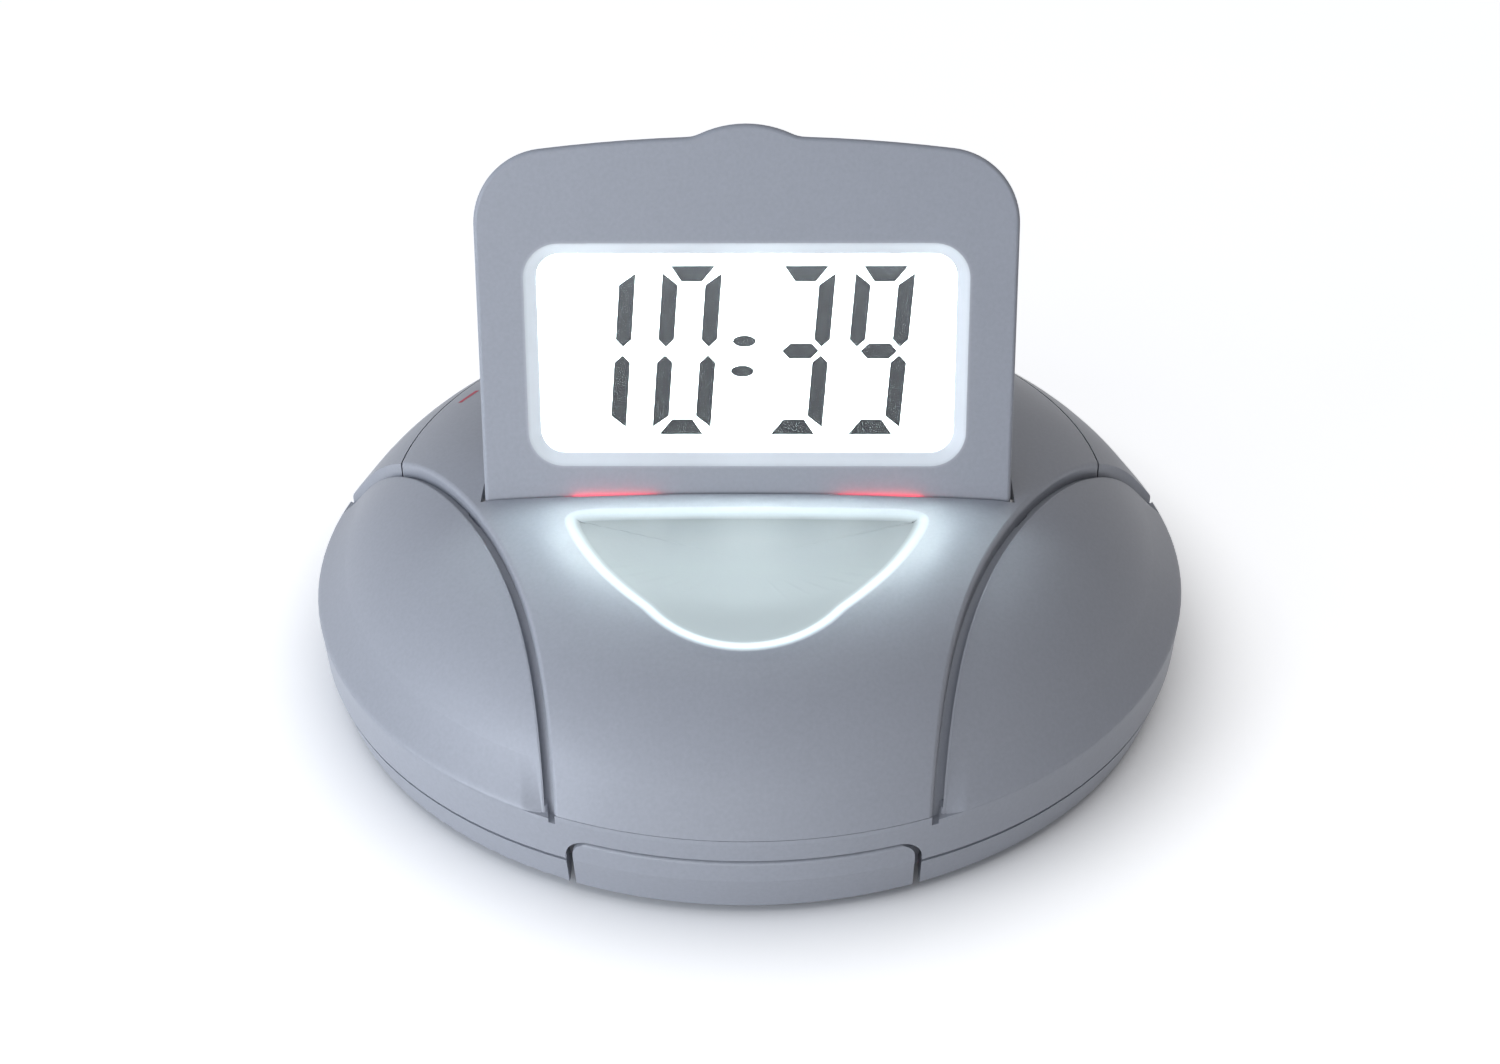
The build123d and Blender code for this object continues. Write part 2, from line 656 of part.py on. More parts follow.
def slot_lip():
    """Wedge that overhangs the front of the pocket and follows the leaning face."""
    depth = SLOT_SETBACK + POCKET_FRONT
    drop = -depth / tan(radians(DISPLAY_LEAN))
    rise = TOP_Z + POCKET_WALL - LIP_Z
    wall = POCKET_FRONT - POCKET_WALL
    lean = -SLOT_SETBACK + rise * tan(radians(DISPLAY_LEAN))
    points = [
        (0, wall, LIP_Z - drop),
        (0, POCKET_FRONT, LIP_Z - drop),
        (0, lean, LIP_Z + rise),
        (0, wall, LIP_Z + rise),
    ]
    half = DISPLAY_WIDTH / 2 + POCKET_GAP
    return extrude(make_face(Polyline(*points, close=True)), half, both=True)


def lamp_bar_limits():
    """Heights and depths of the lamp bars in the front wall of the pocket."""
    high = LIP_Z - LAMP_BAR_TOP
    return (high - LAMP_BAR_HEIGHT, high), (POCKET_FRONT - LAMP_BAR_DEPTH, POCKET_FRONT)


def lamp_bar(side):
    """Red light bar in the front wall of the pocket, under the slot lip."""
    z, y = lamp_bar_limits()
    middle = side * LAMP_SPACING / 2
    x = (middle - LAMP_BAR_LENGTH / 2, middle + LAMP_BAR_LENGTH / 2)
    return block(x, y, z) + (block(x, (y[0], 0), z) & slot_lip())


def lamp_chip(side):
    """Lamp behind the foot of a light bar."""
    z, y = lamp_bar_limits()
    middle = side * LAMP_SPACING / 2
    reach = (y[0] - LAMP_CHIP, y[0])
    return block((middle - LAMP_CHIP, middle + LAMP_CHIP), reach, (z[0], z[0] + LAMP_CHIP))


def pocket_block():
    """Walls and floor of the pocket before it is hollowed."""
    inside_seam = Circle(SEAM_RADIUS - SEAM_GAP - COVER_EDGE_ROUND)
    plan = pocket_plan(POCKET_GAP + POCKET_WALL) & inside_seam & cover_plan(SEAM_GAP, GROOVE_WIDTH / 2)
    return prism(plan, POCKET_UNDERSIDE, TOP_Z) & base_solid(COVER_WALL / 2)


def on_scoop(edge):
    """Whether the middle of an edge lies on the scoop's outline, seen from above."""
    middle = edge @ 0.5
    rear = -SLOT_SETBACK - SCOOP_LAND
    along = rear - SCOOP_LENGTH - NEAR < middle.Y < rear + NEAR
    inside_seam = hypot(middle.X, middle.Y) < SEAM_RADIUS - LEDGE_WIDTH
    return along and inside_seam and abs(middle.X) < SCOOP_HALF_WIDTH + NEAR


def top_cover():
    """Waisted band and disc with the slot, the display pocket and the scoop."""
    plan = cover_plan(SEAM_GAP, GROOVE_WIDTH / 2)
    plan = fillet([v for v in plan.vertices() if v.Y > 0], COVER_CORNER)
    shell = prism(plan, RIM_Z + SEAM_GAP, TOP_Z) & (base_solid(0) - base_solid(COVER_WALL))
    rim = [e for e in shell.edges() if near_dome(e, 0)]
    shell = fillet(rim, COVER_EDGE_ROUND)
    backing = base_solid(COVER_WALL) - base_solid(SCOOP_DEPTH + SCOOP_BACKING)
    shell += prism(scoop_plan(SCOOP_BACKING), RIM_Z, TOP_Z) & backing
    shell += pocket_block()
    shell -= prism(pocket_plan(POCKET_GAP), POCKET_FLOOR, TOP_Z + COVER_WALL) - slot_lip()
    shell -= prism(scoop_plan(), RIM_Z, TOP_Z) - base_solid(SCOOP_DEPTH)
    shell = fillet([e for e in shell.edges() if near_dome(e, 0) and on_scoop(e)], SCOOP_RIM_ROUND)
    for side in (-1, 1):
        far = DISPLAY_WIDTH / 2 + POCKET_GAP + POCKET_WALL + SEAM_GAP
        shell -= DISPLAY_PLANE * hinge_rod(HINGE_PIN_RADIUS + HINGE_CLEARANCE, side, pin_inner_x(), far)
        shell -= lamp_bar(side)
        shell -= lamp_chip(side)
    return shell


# Upper housing
def flank_plane(azimuth, up_slope, sink):
    """Plane sunk below the flank: X along the rim, Y up the slope, Z outwards."""
    radius = BASE_RADIUS - up_slope * FLANK_UP - sink * FLANK_OUT
    height = RIM_Z + up_slope * FLANK_OUT - sink * FLANK_UP
    east, north = cos(radians(azimuth)), sin(radians(azimuth))
    return Plane(
        origin=(radius * east, radius * north, height),
        x_dir=(-north, east, 0),
        z_dir=(FLANK_OUT * east, FLANK_OUT * north, FLANK_UP),
    )


KEY_PANEL = flank_plane(90.0, PANEL_UP_SLOPE, PANEL_SINK)
MODE_PANEL = flank_plane(MODE_AZIMUTH, PANEL_UP_SLOPE, MODE_SINK)
KEY_PLACES = [(i - (KEY_COUNT - 1) / 2) * KEY_PITCH for i in range(KEY_COUNT)]
KEY_BACK = -PANEL_WALL - SEAM_GAP - KEY_FLANGE
KEY_SWITCH_TOP = KEY_BACK - SWITCH_PLUNGER_PROUD
KEY_PCB_TOP = KEY_SWITCH_TOP - SWITCH_HEIGHT
KEY_POST_X = KEY_PLACES[-1] + KEY_WIDTH / 2 + KEY_GAP + KEY_FLANGE_LAP + POST_RADIUS + MODE_GAP
MODE_BACK = -PANEL_WALL - SEAM_GAP - KEY_FLANGE
MODE_POST_X = MODE_PANEL_LENGTH / 2 + POST_RADIUS
MODE_SLIDER_HALF = MODE_STEM_LENGTH / 2 + MODE_TRAVEL
MODE_SWITCH_HALF = MODE_SLIDER_HALF + 2 * MODE_GAP


def panel_backing(length, height):
    """Thick patch of wall behind a sunk panel, in the panel's frame."""
    half = height / 2 + PANEL_MARGIN
    reach = length / 2 + PANEL_MARGIN
    return block((-reach, reach), (-half, half), (-PANEL_WALL, PANEL_WALL / 2))


def panel_cut(length, height):
    """Space in front of a sunk panel, in the panel's frame."""
    return block((-length / 2, length / 2), (-height / 2, height / 2), (0, 3 * PANEL_SINK))


def key_cap(width, height, low, high):
    """Rounded key between two levels, in the panel's frame."""
    corner = min(KEY_CORNER, KEY_CORNER_SHARE * height)
    return extrude(Pos(0, 0, low) * RectangleRounded(width, height, corner), high - low)


def housing_boss(x, y):
    """Screw boss that hangs from the inside of the upper housing."""
    column = rod(HOUSING_SCREW_RADIUS + BOSS_WALL, BOSS_TOP + SEAM_GAP, TOP_Z, x, y)
    return column & base_solid(SHELL_INSET - WALL / 3)


def housing_screw_places():
    """Four screws from below."""
    return [(sx * HOUSING_SCREW_PLACE, sy * HOUSING_SCREW_PLACE) for sx in (-1, 1) for sy in (-1, 1)]


def snooze_front(half, low, high, corner):
    """Front outline of the press bar with two rounded upper corners, pushed back to the axis."""
    points = [(-half, 0, low), (half, 0, low), (half, 0, high), (-half, 0, high)]
    face = make_face(Polyline(*points, close=True))
    face = fillet(face.vertices().group_by(Axis.Z)[-1], corner)
    return extrude(face, 2 * BASE_RADIUS, dir=(0, -1, 0))


def snooze_notch(low):
    """Opening for the press bar through the front wall."""
    half = SNOOZE_WIDTH / 2 + SNOOZE_SIDE_GAP
    high = snooze_top() + SNOOZE_GAP
    inner = rod(snooze_inner_radius() - SNOOZE_TRAVEL - SNOOZE_GAP, low, high)
    return snooze_front(half, low, high, SNOOZE_CORNER + SNOOZE_SIDE_GAP) - inner


def upper_housing():
    """Upper shell with the skirt, the two sunk pads, the rear rim and a ledge for the cover."""
    low = PARTING_Z + WALL
    high = TOP_Z + COVER_WALL
    brow = base_solid(0)
    edge = [e for e in brow.edges() if abs((e @ 0.5).Z - RIM_Z) < NEAR]
    shell = fillet(edge, RIM_ROUND)
    shell -= prism(pad_circles(PAD_ARC_RADIUS + GROOVE_WIDTH / 2), low, high) - base_solid(LEDGE_SINK)
    pads = prism(pad_circles(PAD_ARC_RADIUS - GROOVE_WIDTH / 2), low, high) & base_solid(PAD_SINK)
    border = [e for e in pads.edges() if near_dome(e, PAD_SINK)]
    shell += fillet(border, PAD_EDGE_ROUND)
    shell -= prism(cover_plan(0, -GROOVE_WIDTH), RIM_Z, high) - base_solid(LEDGE_SINK)
    shell -= cavity_solid(SHELL_INSET)
    front = Circle(rim_radius(RIM_Z) - SHELL_INSET - LEDGE_WIDTH)
    opening = cover_plan(LEDGE_WIDTH, GROOVE_WIDTH / 2 + LEDGE_WIDTH) & front
    shell -= prism(opening, low, high)
    inside = cavity_solid(WALL / 2)
    shell += (KEY_PANEL * panel_backing(PANEL_WIDTH, PANEL_HEIGHT)) & inside
    shell += (MODE_PANEL * panel_backing(MODE_PANEL_LENGTH, MODE_PANEL_HEIGHT)) & inside
    for x in (-KEY_POST_X, KEY_POST_X):
        shell += (KEY_PANEL * rod(POST_RADIUS, KEY_PCB_TOP, 0, x)) & inside
    for x in (-MODE_POST_X, MODE_POST_X):
        shell += (MODE_PANEL * rod(POST_RADIUS, MODE_BACK - SEAM_GAP, 0, x)) & inside
    for x, y in housing_screw_places():
        shell += housing_boss(x, y)
        shell -= rod(HOUSING_SCREW_RADIUS, BOSS_TOP, BOSS_TOP + HOUSING_SCREW_BITE, x, y)
    room = pocket_plan(POCKET_GAP + POCKET_WALL + SEAM_GAP) & cover_plan(0, GROOVE_WIDTH / 2 - SEAM_GAP)
    shell -= prism(room, low, high)
    key_reach = KEY_POST_X - POST_RADIUS - MODE_GAP / 2
    key_tall = KEY_HEIGHT / 2 + KEY_GAP + KEY_FLANGE_LAP + MODE_GAP
    slider_reach = MODE_SLIDER_HALF + KEY_FLANGE_LAP + MODE_GAP
    slider_tall = MODE_STEM_WIDTH / 2 + KEY_FLANGE_LAP + 2 * MODE_GAP
    shell -= KEY_PANEL * block((-key_reach, key_reach), (-key_tall, key_tall), (KEY_PCB_TOP, -PANEL_WALL))
    shell -= MODE_PANEL * block(
        (-slider_reach, slider_reach), (-slider_tall, slider_tall), (KEY_PCB_TOP, -PANEL_WALL)
    )
    shell -= KEY_PANEL * panel_cut(PANEL_WIDTH, PANEL_HEIGHT)
    shell -= MODE_PANEL * panel_cut(MODE_PANEL_LENGTH, MODE_PANEL_HEIGHT)
    for x in KEY_PLACES:
        hole = key_cap(KEY_WIDTH + 2 * KEY_GAP, KEY_HEIGHT + 2 * KEY_GAP, -2 * PANEL_WALL, PANEL_WALL)
        shell -= KEY_PANEL * (Pos(x, 0, 0) * hole)
    slot = MODE_SLIDER_HALF + MODE_GAP
    stem = MODE_STEM_WIDTH / 2 + MODE_GAP
    shell -= MODE_PANEL * block((-slot, slot), (-stem, stem), (-2 * PANEL_WALL, PANEL_WALL))
    for x in (-KEY_POST_X, KEY_POST_X):
        bite = SMALL_SCREW_LENGTH - PCB_THICKNESS
        shell -= KEY_PANEL * rod(SMALL_SCREW_RADIUS, KEY_PCB_TOP, KEY_PCB_TOP + bite, x)
    for x in (-MODE_POST_X, MODE_POST_X):
        bite = MODE_BACK - SEAM_GAP + SMALL_SCREW_LENGTH - PCB_THICKNESS
        shell -= MODE_PANEL * rod(SMALL_SCREW_RADIUS, MODE_BACK - SEAM_GAP, bite, x)
    shell -= snooze_notch(PARTING_Z - WALL)
    return shell


# Front press bar
def snooze_top():
    """Height of the top edge of the press bar."""
    return PARTING_Z + SNOOZE_TOP


def snooze_foot():
    """Height of the bottom edge of the press bar."""
    return UNDERSIDE_Z + SNOOZE_FOOT


def snooze_inner_radius():
    """Inner radius of the press bar at its foot."""
    return rim_radius(snooze_foot()) - SNOOZE_WALL


def snooze_pcb_front():
    """Front edge of the board behind the press bar."""
    return -snooze_inner_radius() + SNOOZE_FLANGE + SNOOZE_TRAVEL + SNOOZE_WALL + SWITCH_PLUNGER_PROUD


SNOOZE_PCB_TOP = FLOOR_Z + PCB_LIFT + PCB_THICKNESS
SNOOZE_SWITCH_Z = SNOOZE_PCB_TOP + SWITCH_WIDTH / 4
SNOOZE_SWITCH_FRONT = snooze_pcb_front()
SNOOZE_POST_END = SNOOZE_SWITCH_FRONT - SWITCH_PLUNGER_PROUD
SNOOZE_PIN_Z = FLOOR_Z + PCB_LIFT / 2


def snooze_button():
    """Curved bar that follows the rim, with a retaining flange, a post and two guide pins."""
    low, high = snooze_foot(), snooze_top()
    half = SNOOZE_WIDTH / 2
    heights = (low, PARTING_Z, high)
    outer = [(rim_radius(z), 0, z) for z in heights]
    inner = [(rim_radius(z) - SNOOZE_WALL, 0, z) for z in reversed(heights)]
    section = make_face(Polyline(*outer, *inner, close=True))
    front = [v for v in section.vertices() if v.X > rim_radius(v.Z) - NEAR]
    section = fillet([v for v in front if abs(v.Z - PARTING_Z) > NEAR], SNOOZE_EDGE_ROUND)
    bar = revolve(section, Axis.Z) & snooze_front(half, 0, high, SNOOZE_CORNER)
    flange_outer = snooze_inner_radius()
    flange_inner = flange_outer - SNOOZE_FLANGE
    flange_low = FLOOR_Z + SEAM_GAP + SNOOZE_GAP
    reach = half + SNOOZE_SIDE_GAP + SNOOZE_FLANGE_LAP
    ring = rod(flange_outer, flange_low, high - SNOOZE_GAP) - rod(flange_inner, flange_low, high)
    bar += ring & block((-reach, reach), (-2 * BASE_RADIUS, 0), (0, TOP_Z))
    fill = rod(rim_radius(PARTING_Z) - SNOOZE_WALL / 2, flange_low, high - SNOOZE_GAP)
    fill -= rod(flange_inner, flange_low, high)
    bar += fill & snooze_front(half, 0, high - SNOOZE_GAP, SNOOZE_CORNER)
    post_half = SNOOZE_POST_WIDTH / 2
    post_z = (SNOOZE_SWITCH_Z - SWITCH_WIDTH / 4, SNOOZE_SWITCH_Z + SWITCH_WIDTH / 4)
    bar += block((-post_half, post_half), (-flange_outer, SNOOZE_POST_END), post_z)
    for x in (-SNOOZE_PIN_SPACING / 2, SNOOZE_PIN_SPACING / 2):
        root = -sqrt(flange_outer**2 - x**2)
        bar += snooze_pin(SNOOZE_PIN_RADIUS, x, root, snooze_guide_front() + SNOOZE_GUIDE)
    return bar


def snooze_guide_front():
    """Front of the guide lugs, behind the flange of the pressed bar."""
    reach = SNOOZE_PIN_SPACING / 2 + SNOOZE_PIN_RADIUS + BOX_WALL
    flange_inner = snooze_inner_radius() - SNOOZE_FLANGE
    return SNOOZE_TRAVEL + SNOOZE_GAP - sqrt(flange_inner**2 - reach**2)


def snooze_pin(radius, x, front, rear):
    """Guide rod along Y at the level of the press bar's pins."""
    return Pos(x, front, SNOOZE_PIN_Z) * Rot(-90, 0, 0) * Cylinder(radius, rear - front, align=LOW)


def snooze_switch_bore(radius, depth, proud):
    """Rod on the axis of the front switch, reaching into its body by depth and out of it by proud."""
    turn = Pos(0, SNOOZE_SWITCH_FRONT - proud, SNOOZE_SWITCH_Z) * Rot(-90, 0, 0)
    return turn * Cylinder(radius, depth + proud, align=LOW)


def snooze_switch_body():
    """Side press switch on the front board."""
    half = SWITCH_WIDTH / 2
    z = (SNOOZE_PCB_TOP, SNOOZE_PCB_TOP + SWITCH_WIDTH / 2)
    body = block((-half, half), (SNOOZE_SWITCH_FRONT, SNOOZE_SWITCH_FRONT + SWITCH_HEIGHT), z)
    depth = SWITCH_PLUNGER_SUNK + SNOOZE_TRAVEL + SWITCH_BORE_CLEARANCE
    return body - snooze_switch_bore(snooze_plunger_radius() + SWITCH_BORE_CLEARANCE, depth, 0)


def snooze_plunger_radius():
    """Radius of the front switch's plunger."""
    return SWITCH_WIDTH / 4 - 4 * SWITCH_BORE_CLEARANCE


def snooze_switch_plunger():
    """Plunger of the front switch, touching the post of the press bar."""
    return snooze_switch_bore(snooze_plunger_radius(), SWITCH_PLUNGER_SUNK, SWITCH_PLUNGER_PROUD)


def snooze_pcb():
    """Small board that carries the front switch."""
    half = SNOOZE_PCB_WIDTH / 2
    front = SNOOZE_SWITCH_FRONT + SEAM_GAP
    z = (SNOOZE_PCB_TOP - PCB_THICKNESS, SNOOZE_PCB_TOP)
    return drilled(block((-half, half), (front, front + SNOOZE_PCB_DEPTH), z), snooze_pcb_corners())


# Setting keys
def set_key(x):
    """Key with a retaining flange behind the panel."""
    cap = key_cap(KEY_WIDTH, KEY_HEIGHT, KEY_BACK, KEY_PROUD)
    crown = [e for e in cap.edges() if abs((e @ 0.5).Z - KEY_PROUD) < NEAR]
    cap = fillet(crown, KEY_PROUD / 2)
    lap = 2 * (KEY_GAP + KEY_FLANGE_LAP)
    cap += key_cap(KEY_WIDTH + lap, KEY_HEIGHT + lap, KEY_BACK, KEY_BACK + KEY_FLANGE)
    return KEY_PANEL * (Pos(x, 0, 0) * cap)


def set_plunger(x):
    """Plunger of the switch under a key."""
    low = KEY_SWITCH_TOP - SWITCH_PLUNGER_SUNK
    return KEY_PANEL * rod(SWITCH_PLUNGER_RADIUS, low, KEY_BACK, x)


def set_switch_bodies():
    """Switch bodies under the keys."""
    bodies = []
    for x in KEY_PLACES:
        half = SWITCH_WIDTH / 2
        body = block((x - half, x + half), (-half, half), (KEY_PCB_TOP, KEY_SWITCH_TOP))
        depth = SWITCH_PLUNGER_SUNK + KEY_TRAVEL + SWITCH_BORE_CLEARANCE
        bore = SWITCH_PLUNGER_RADIUS + SWITCH_BORE_CLEARANCE
        body -= rod(bore, KEY_SWITCH_TOP - depth, KEY_SWITCH_TOP, x)
        bodies.append(KEY_PANEL * body)
    return group(bodies)


def set_pcb():
    """Board behind the setting keys."""
    half = KEY_POST_X + POST_RADIUS
    tall = SWITCH_WIDTH / 2 + SEAM_GAP
    board = block((-half, half), (-tall, tall), (KEY_PCB_TOP - PCB_THICKNESS, KEY_PCB_TOP))
    for x in (-KEY_POST_X, KEY_POST_X):
        board -= rod(SMALL_SCREW_RADIUS, KEY_PCB_TOP - PCB_THICKNESS, KEY_PCB_TOP, x)
    return KEY_PANEL * board


def set_pcb_screws():
    """Two screws that hold the key board to its posts."""
    screw = Pos(0, 0, KEY_PCB_TOP - PCB_THICKNESS) * Rot(180, 0, 0) * small_screw(SMALL_SCREW_LENGTH)
    return group([KEY_PANEL * (Pos(x, 0, 0) * screw) for x in (-KEY_POST_X, KEY_POST_X)])


# Mode slide switch
def mode_knob():
    """Ribbed knob with a stem through the slot and a slider behind the panel."""
    half = MODE_KNOB_LENGTH / 2
    wide = MODE_KNOB_WIDTH / 2
    knob = block((-half, half), (-wide, wide), (SEAM_GAP, MODE_KNOB_PROUD))
    pitch = MODE_KNOB_LENGTH / (MODE_RIBS + 1)
    for i in range(MODE_RIBS + 1):
        x = (i - MODE_RIBS / 2) * pitch
        groove = Rot(90, 0, 0) * Cylinder(pitch / 3, MODE_KNOB_WIDTH)
        knob -= Pos(x, 0, MODE_KNOB_PROUD) * groove
    stem = MODE_STEM_LENGTH / 2
    stem_wide = MODE_STEM_WIDTH / 2
    knob += block((-stem, stem), (-stem_wide, stem_wide), (MODE_BACK, SEAM_GAP))
    slider_half = stem + KEY_FLANGE_LAP
    slider_wide = stem_wide + MODE_GAP + KEY_FLANGE_LAP
    slider_z = (MODE_BACK, MODE_BACK + KEY_FLANGE)
    knob += block((-slider_half, slider_half), (-slider_wide, slider_wide), slider_z)
    return MODE_PANEL * knob


def mode_switch_lever():
    """Lever of the slide switch, under the knob's stem."""
    half = MODE_STEM_WIDTH / 2
    low = MODE_BACK - SEAM_GAP - SWITCH_PLUNGER_PROUD
    return MODE_PANEL * block((-half, half), (-half, half), (low, MODE_BACK))


def mode_switch_body():
    """Slide switch with two ears, screwed to posts behind the panel."""
    top = MODE_BACK - SEAM_GAP
    half = MODE_SWITCH_HALF + MODE_GAP
    wide = MODE_STEM_WIDTH / 2 + 2 * MODE_GAP + KEY_FLANGE_LAP
    body = block((-half, half), (-wide, wide), (top - SWITCH_HEIGHT, top))
    ear = MODE_POST_X + POST_RADIUS
    body += block((-ear, ear), (-POST_RADIUS, POST_RADIUS), (top - PCB_THICKNESS, top))
    slot = MODE_STEM_WIDTH / 2 + MODE_TRAVEL + MODE_GAP
    slot_wide = MODE_STEM_WIDTH / 2 + MODE_GAP
    depth = SWITCH_PLUNGER_PROUD + MODE_GAP
    body -= block((-slot, slot), (-slot_wide, slot_wide), (top - depth, top))
    for x in (-MODE_POST_X, MODE_POST_X):
        body -= rod(SMALL_SCREW_RADIUS, top - PCB_THICKNESS, top, x)
    return MODE_PANEL * body


def mode_switch_screws():
    """Two screws through the ears of the slide switch."""
    seat = MODE_BACK - SEAM_GAP - PCB_THICKNESS
    screw = Pos(0, 0, seat) * Rot(180, 0, 0) * small_screw(SMALL_SCREW_LENGTH)
    return group([MODE_PANEL * (Pos(x, 0, 0) * screw) for x in (-MODE_POST_X, MODE_POST_X)])


# Places of the motor and the battery box, one behind the other
WEIGHT_START_X = MOTOR_START_X + MOTOR_LENGTH + SHAFT_OUT - WEIGHT_LENGTH - SHAFT_TIP
MOTOR_END_X = MOTOR_START_X + MOTOR_LENGTH
MOTOR_Y = POCKET_FRONT - POCKET_WALL - WEIGHT_ROOM - WEIGHT_RADIUS
MOTOR_Z = FLOOR_Z + MOTOR_SEAT + MOTOR_RADIUS
SADDLE_X = (MOTOR_START_X + MOTOR_END_X) / 2
SADDLE_TOP = MOTOR_Z - CLAMP_SHEET
SADDLE_HALF = MOTOR_FLAT + CLAMP_GAP + CLAMP_SHEET + SEAM_GAP + SADDLE_EAR
CLAMP_SCREW_Y = SADDLE_HALF - SADDLE_EAR / 2
DOOR_TOP = UNDERSIDE_Z + DOOR_THICKNESS
CELL_Z = DOOR_TOP + CELL_GAP + CELL_RADIUS
BOX_ROOF = CELL_Z + CELL_RADIUS + CELL_GAP
BOX_HALF_X = CELL_LENGTH / 2 + CONTACT_ROOM
BOX_HALF_Y = CELL_COUNT * CELL_PITCH / 2
BOX_CENTRE_Y = MOTOR_Y + SADDLE_HALF + BOX_ROOM + BOX_WALL + BOX_HALF_Y
CELL_PLACES = [BOX_CENTRE_Y + (i - (CELL_COUNT - 1) / 2) * CELL_PITCH for i in range(CELL_COUNT)]


def box_block(grow, low, high):
    """Battery space grown by a margin, between two heights."""
    x = (-BOX_HALF_X - grow, BOX_HALF_X + grow)
    y = (BOX_CENTRE_Y - BOX_HALF_Y - grow, BOX_CENTRE_Y + BOX_HALF_Y + grow)
    return block(x, y, (low, high))


def door_plan(grow):
    """Outline of the battery door."""
    width = 2 * (BOX_HALF_X + DOOR_LAP + grow)
    length = 2 * (BOX_HALF_Y + DOOR_LAP + grow)
    return Pos(0, BOX_CENTRE_Y) * RectangleRounded(width, length, DOOR_CORNER + grow)


def cell(sense):
    """One cell along X, its nub towards sense."""
    body = CELL_LENGTH - CELL_NUB_LENGTH
    end = -CELL_LENGTH / 2
    shape = lying_rod(CELL_RADIUS, end, end + body, 0, 0)
    shape += lying_rod(CELL_NUB_RADIUS, end + body, end + CELL_LENGTH, 0, 0)
    shoulder = [e for e in shape.edges() if abs((e @ 0.5).X - end - body) < NEAR]
    shape = fillet(max(shoulder, key=lambda e: e.length), CELL_EDGE_ROUND)
    return shape if sense > 0 else Rot(0, 0, 180) * shape


def cell_sense(index):
    """Neighbouring cells point opposite ways."""
    return 1 if index % 2 == 0 else -1


def battery_cells():
    """The cells in their box."""
    return group([Pos(0, y, CELL_Z) * cell(cell_sense(i)) for i, y in enumerate(CELL_PLACES)])


def battery_spring_contacts():
    """Bowed leaf at the flat end of each cell."""
    leaves = []
    half = CONTACT_WIDTH / 2
    for i, y in enumerate(CELL_PLACES):
        bow = CONTACT_ROOM - SEAM_GAP
        outer = ThreePointArc((0, -half), (bow, 0), (0, half))
        inner = ThreePointArc((0, half - CONTACT_SHEET), (bow - CONTACT_SHEET, 0), (0, -half + CONTACT_SHEET))
        ends = Line((0, half), (0, half - CONTACT_SHEET)) + Line((0, CONTACT_SHEET - half), (0, -half))
        leaf = extrude(make_face(outer + ends + inner), half, both=True)
        sense = cell_sense(i)
        turn = leaf if sense > 0 else Rot(0, 0, 180) * leaf
        leaves.append(Pos(-sense * BOX_HALF_X, y, CELL_Z) * turn)
    return group(leaves)


def battery_plate_contacts():
    """Plate with a raised button at the nub end of each cell."""
    plates = []
    half = CONTACT_WIDTH / 2
    for i, y in enumerate(CELL_PLACES):
        plate = block((-CONTACT_SHEET, 0), (-half, half), (-half, half))
        plate += lying_rod(CELL_NUB_RADIUS, -CONTACT_ROOM + SEAM_GAP, 0, 0, 0)
        sense = cell_sense(i)
        turn = plate if sense > 0 else Rot(0, 0, 180) * plate
        plates.append(Pos(sense * BOX_HALF_X, y, CELL_Z) * turn)
    return group(plates)


def battery_door():
    """Lift-out door with a finger scallop and a locating rib."""
    door = prism(door_plan(-DOOR_GAP), UNDERSIDE_Z, DOOR_TOP)
    edge = [e for e in door.edges() if abs((e @ 0.5).Z - UNDERSIDE_Z) < NEAR]
    door = fillet(edge, DOOR_GAP)
    front = BOX_CENTRE_Y - BOX_HALF_Y - DOOR_LAP
    scallop = Pos(0, front, UNDERSIDE_Z) * Sphere(4 * DOOR_THICKNESS)
    door -= scallop & rod(4 * DOOR_THICKNESS, 0, DOOR_TOP - BOX_WALL / 2, 0, front)
    return door


# Shaking motor


def can_solid(low, high, grow=0.0):
    """Round can with two flat sides, along X."""
    flat = MOTOR_FLAT + grow
    sides = block((low, high), (MOTOR_Y - flat, MOTOR_Y + flat), (0, 2 * MOTOR_Z))
    return lying_rod(MOTOR_RADIUS + grow, low, high, MOTOR_Y, MOTOR_Z) & sides


def motor_can():
    """Drawn steel can with the front bearing boss."""
    can = can_solid(MOTOR_START_X, MOTOR_END_X)
    can += lying_rod(3 * SHAFT_RADIUS, MOTOR_END_X, MOTOR_END_X + SHAFT_RADIUS, MOTOR_Y, MOTOR_Z)
    bore = SHAFT_RADIUS + SHAFT_CLEARANCE
    return can - lying_rod(bore, MOTOR_START_X, MOTOR_END_X + 2 * SHAFT_RADIUS, MOTOR_Y, MOTOR_Z)


def motor_end_cap():
    """Plastic end cap with the rear bearing boss."""
    cap = can_solid(MOTOR_START_X - MOTOR_CAP_LENGTH, MOTOR_START_X)
    cap += lying_rod(3 * SHAFT_RADIUS, MOTOR_START_X - 2 * MOTOR_CAP_LENGTH, MOTOR_START_X, MOTOR_Y, MOTOR_Z)
    bore = SHAFT_RADIUS + SHAFT_CLEARANCE
    return cap - lying_rod(bore, MOTOR_START_X - MOTOR_CAP_LENGTH, MOTOR_START_X, MOTOR_Y, MOTOR_Z)


def motor_shaft():
    """Steel shaft in both bearings."""
    start = MOTOR_START_X - MOTOR_CAP_LENGTH + SHAFT_CLEARANCE
    return lying_rod(SHAFT_RADIUS, start, MOTOR_END_X + SHAFT_OUT, MOTOR_Y, MOTOR_Z)


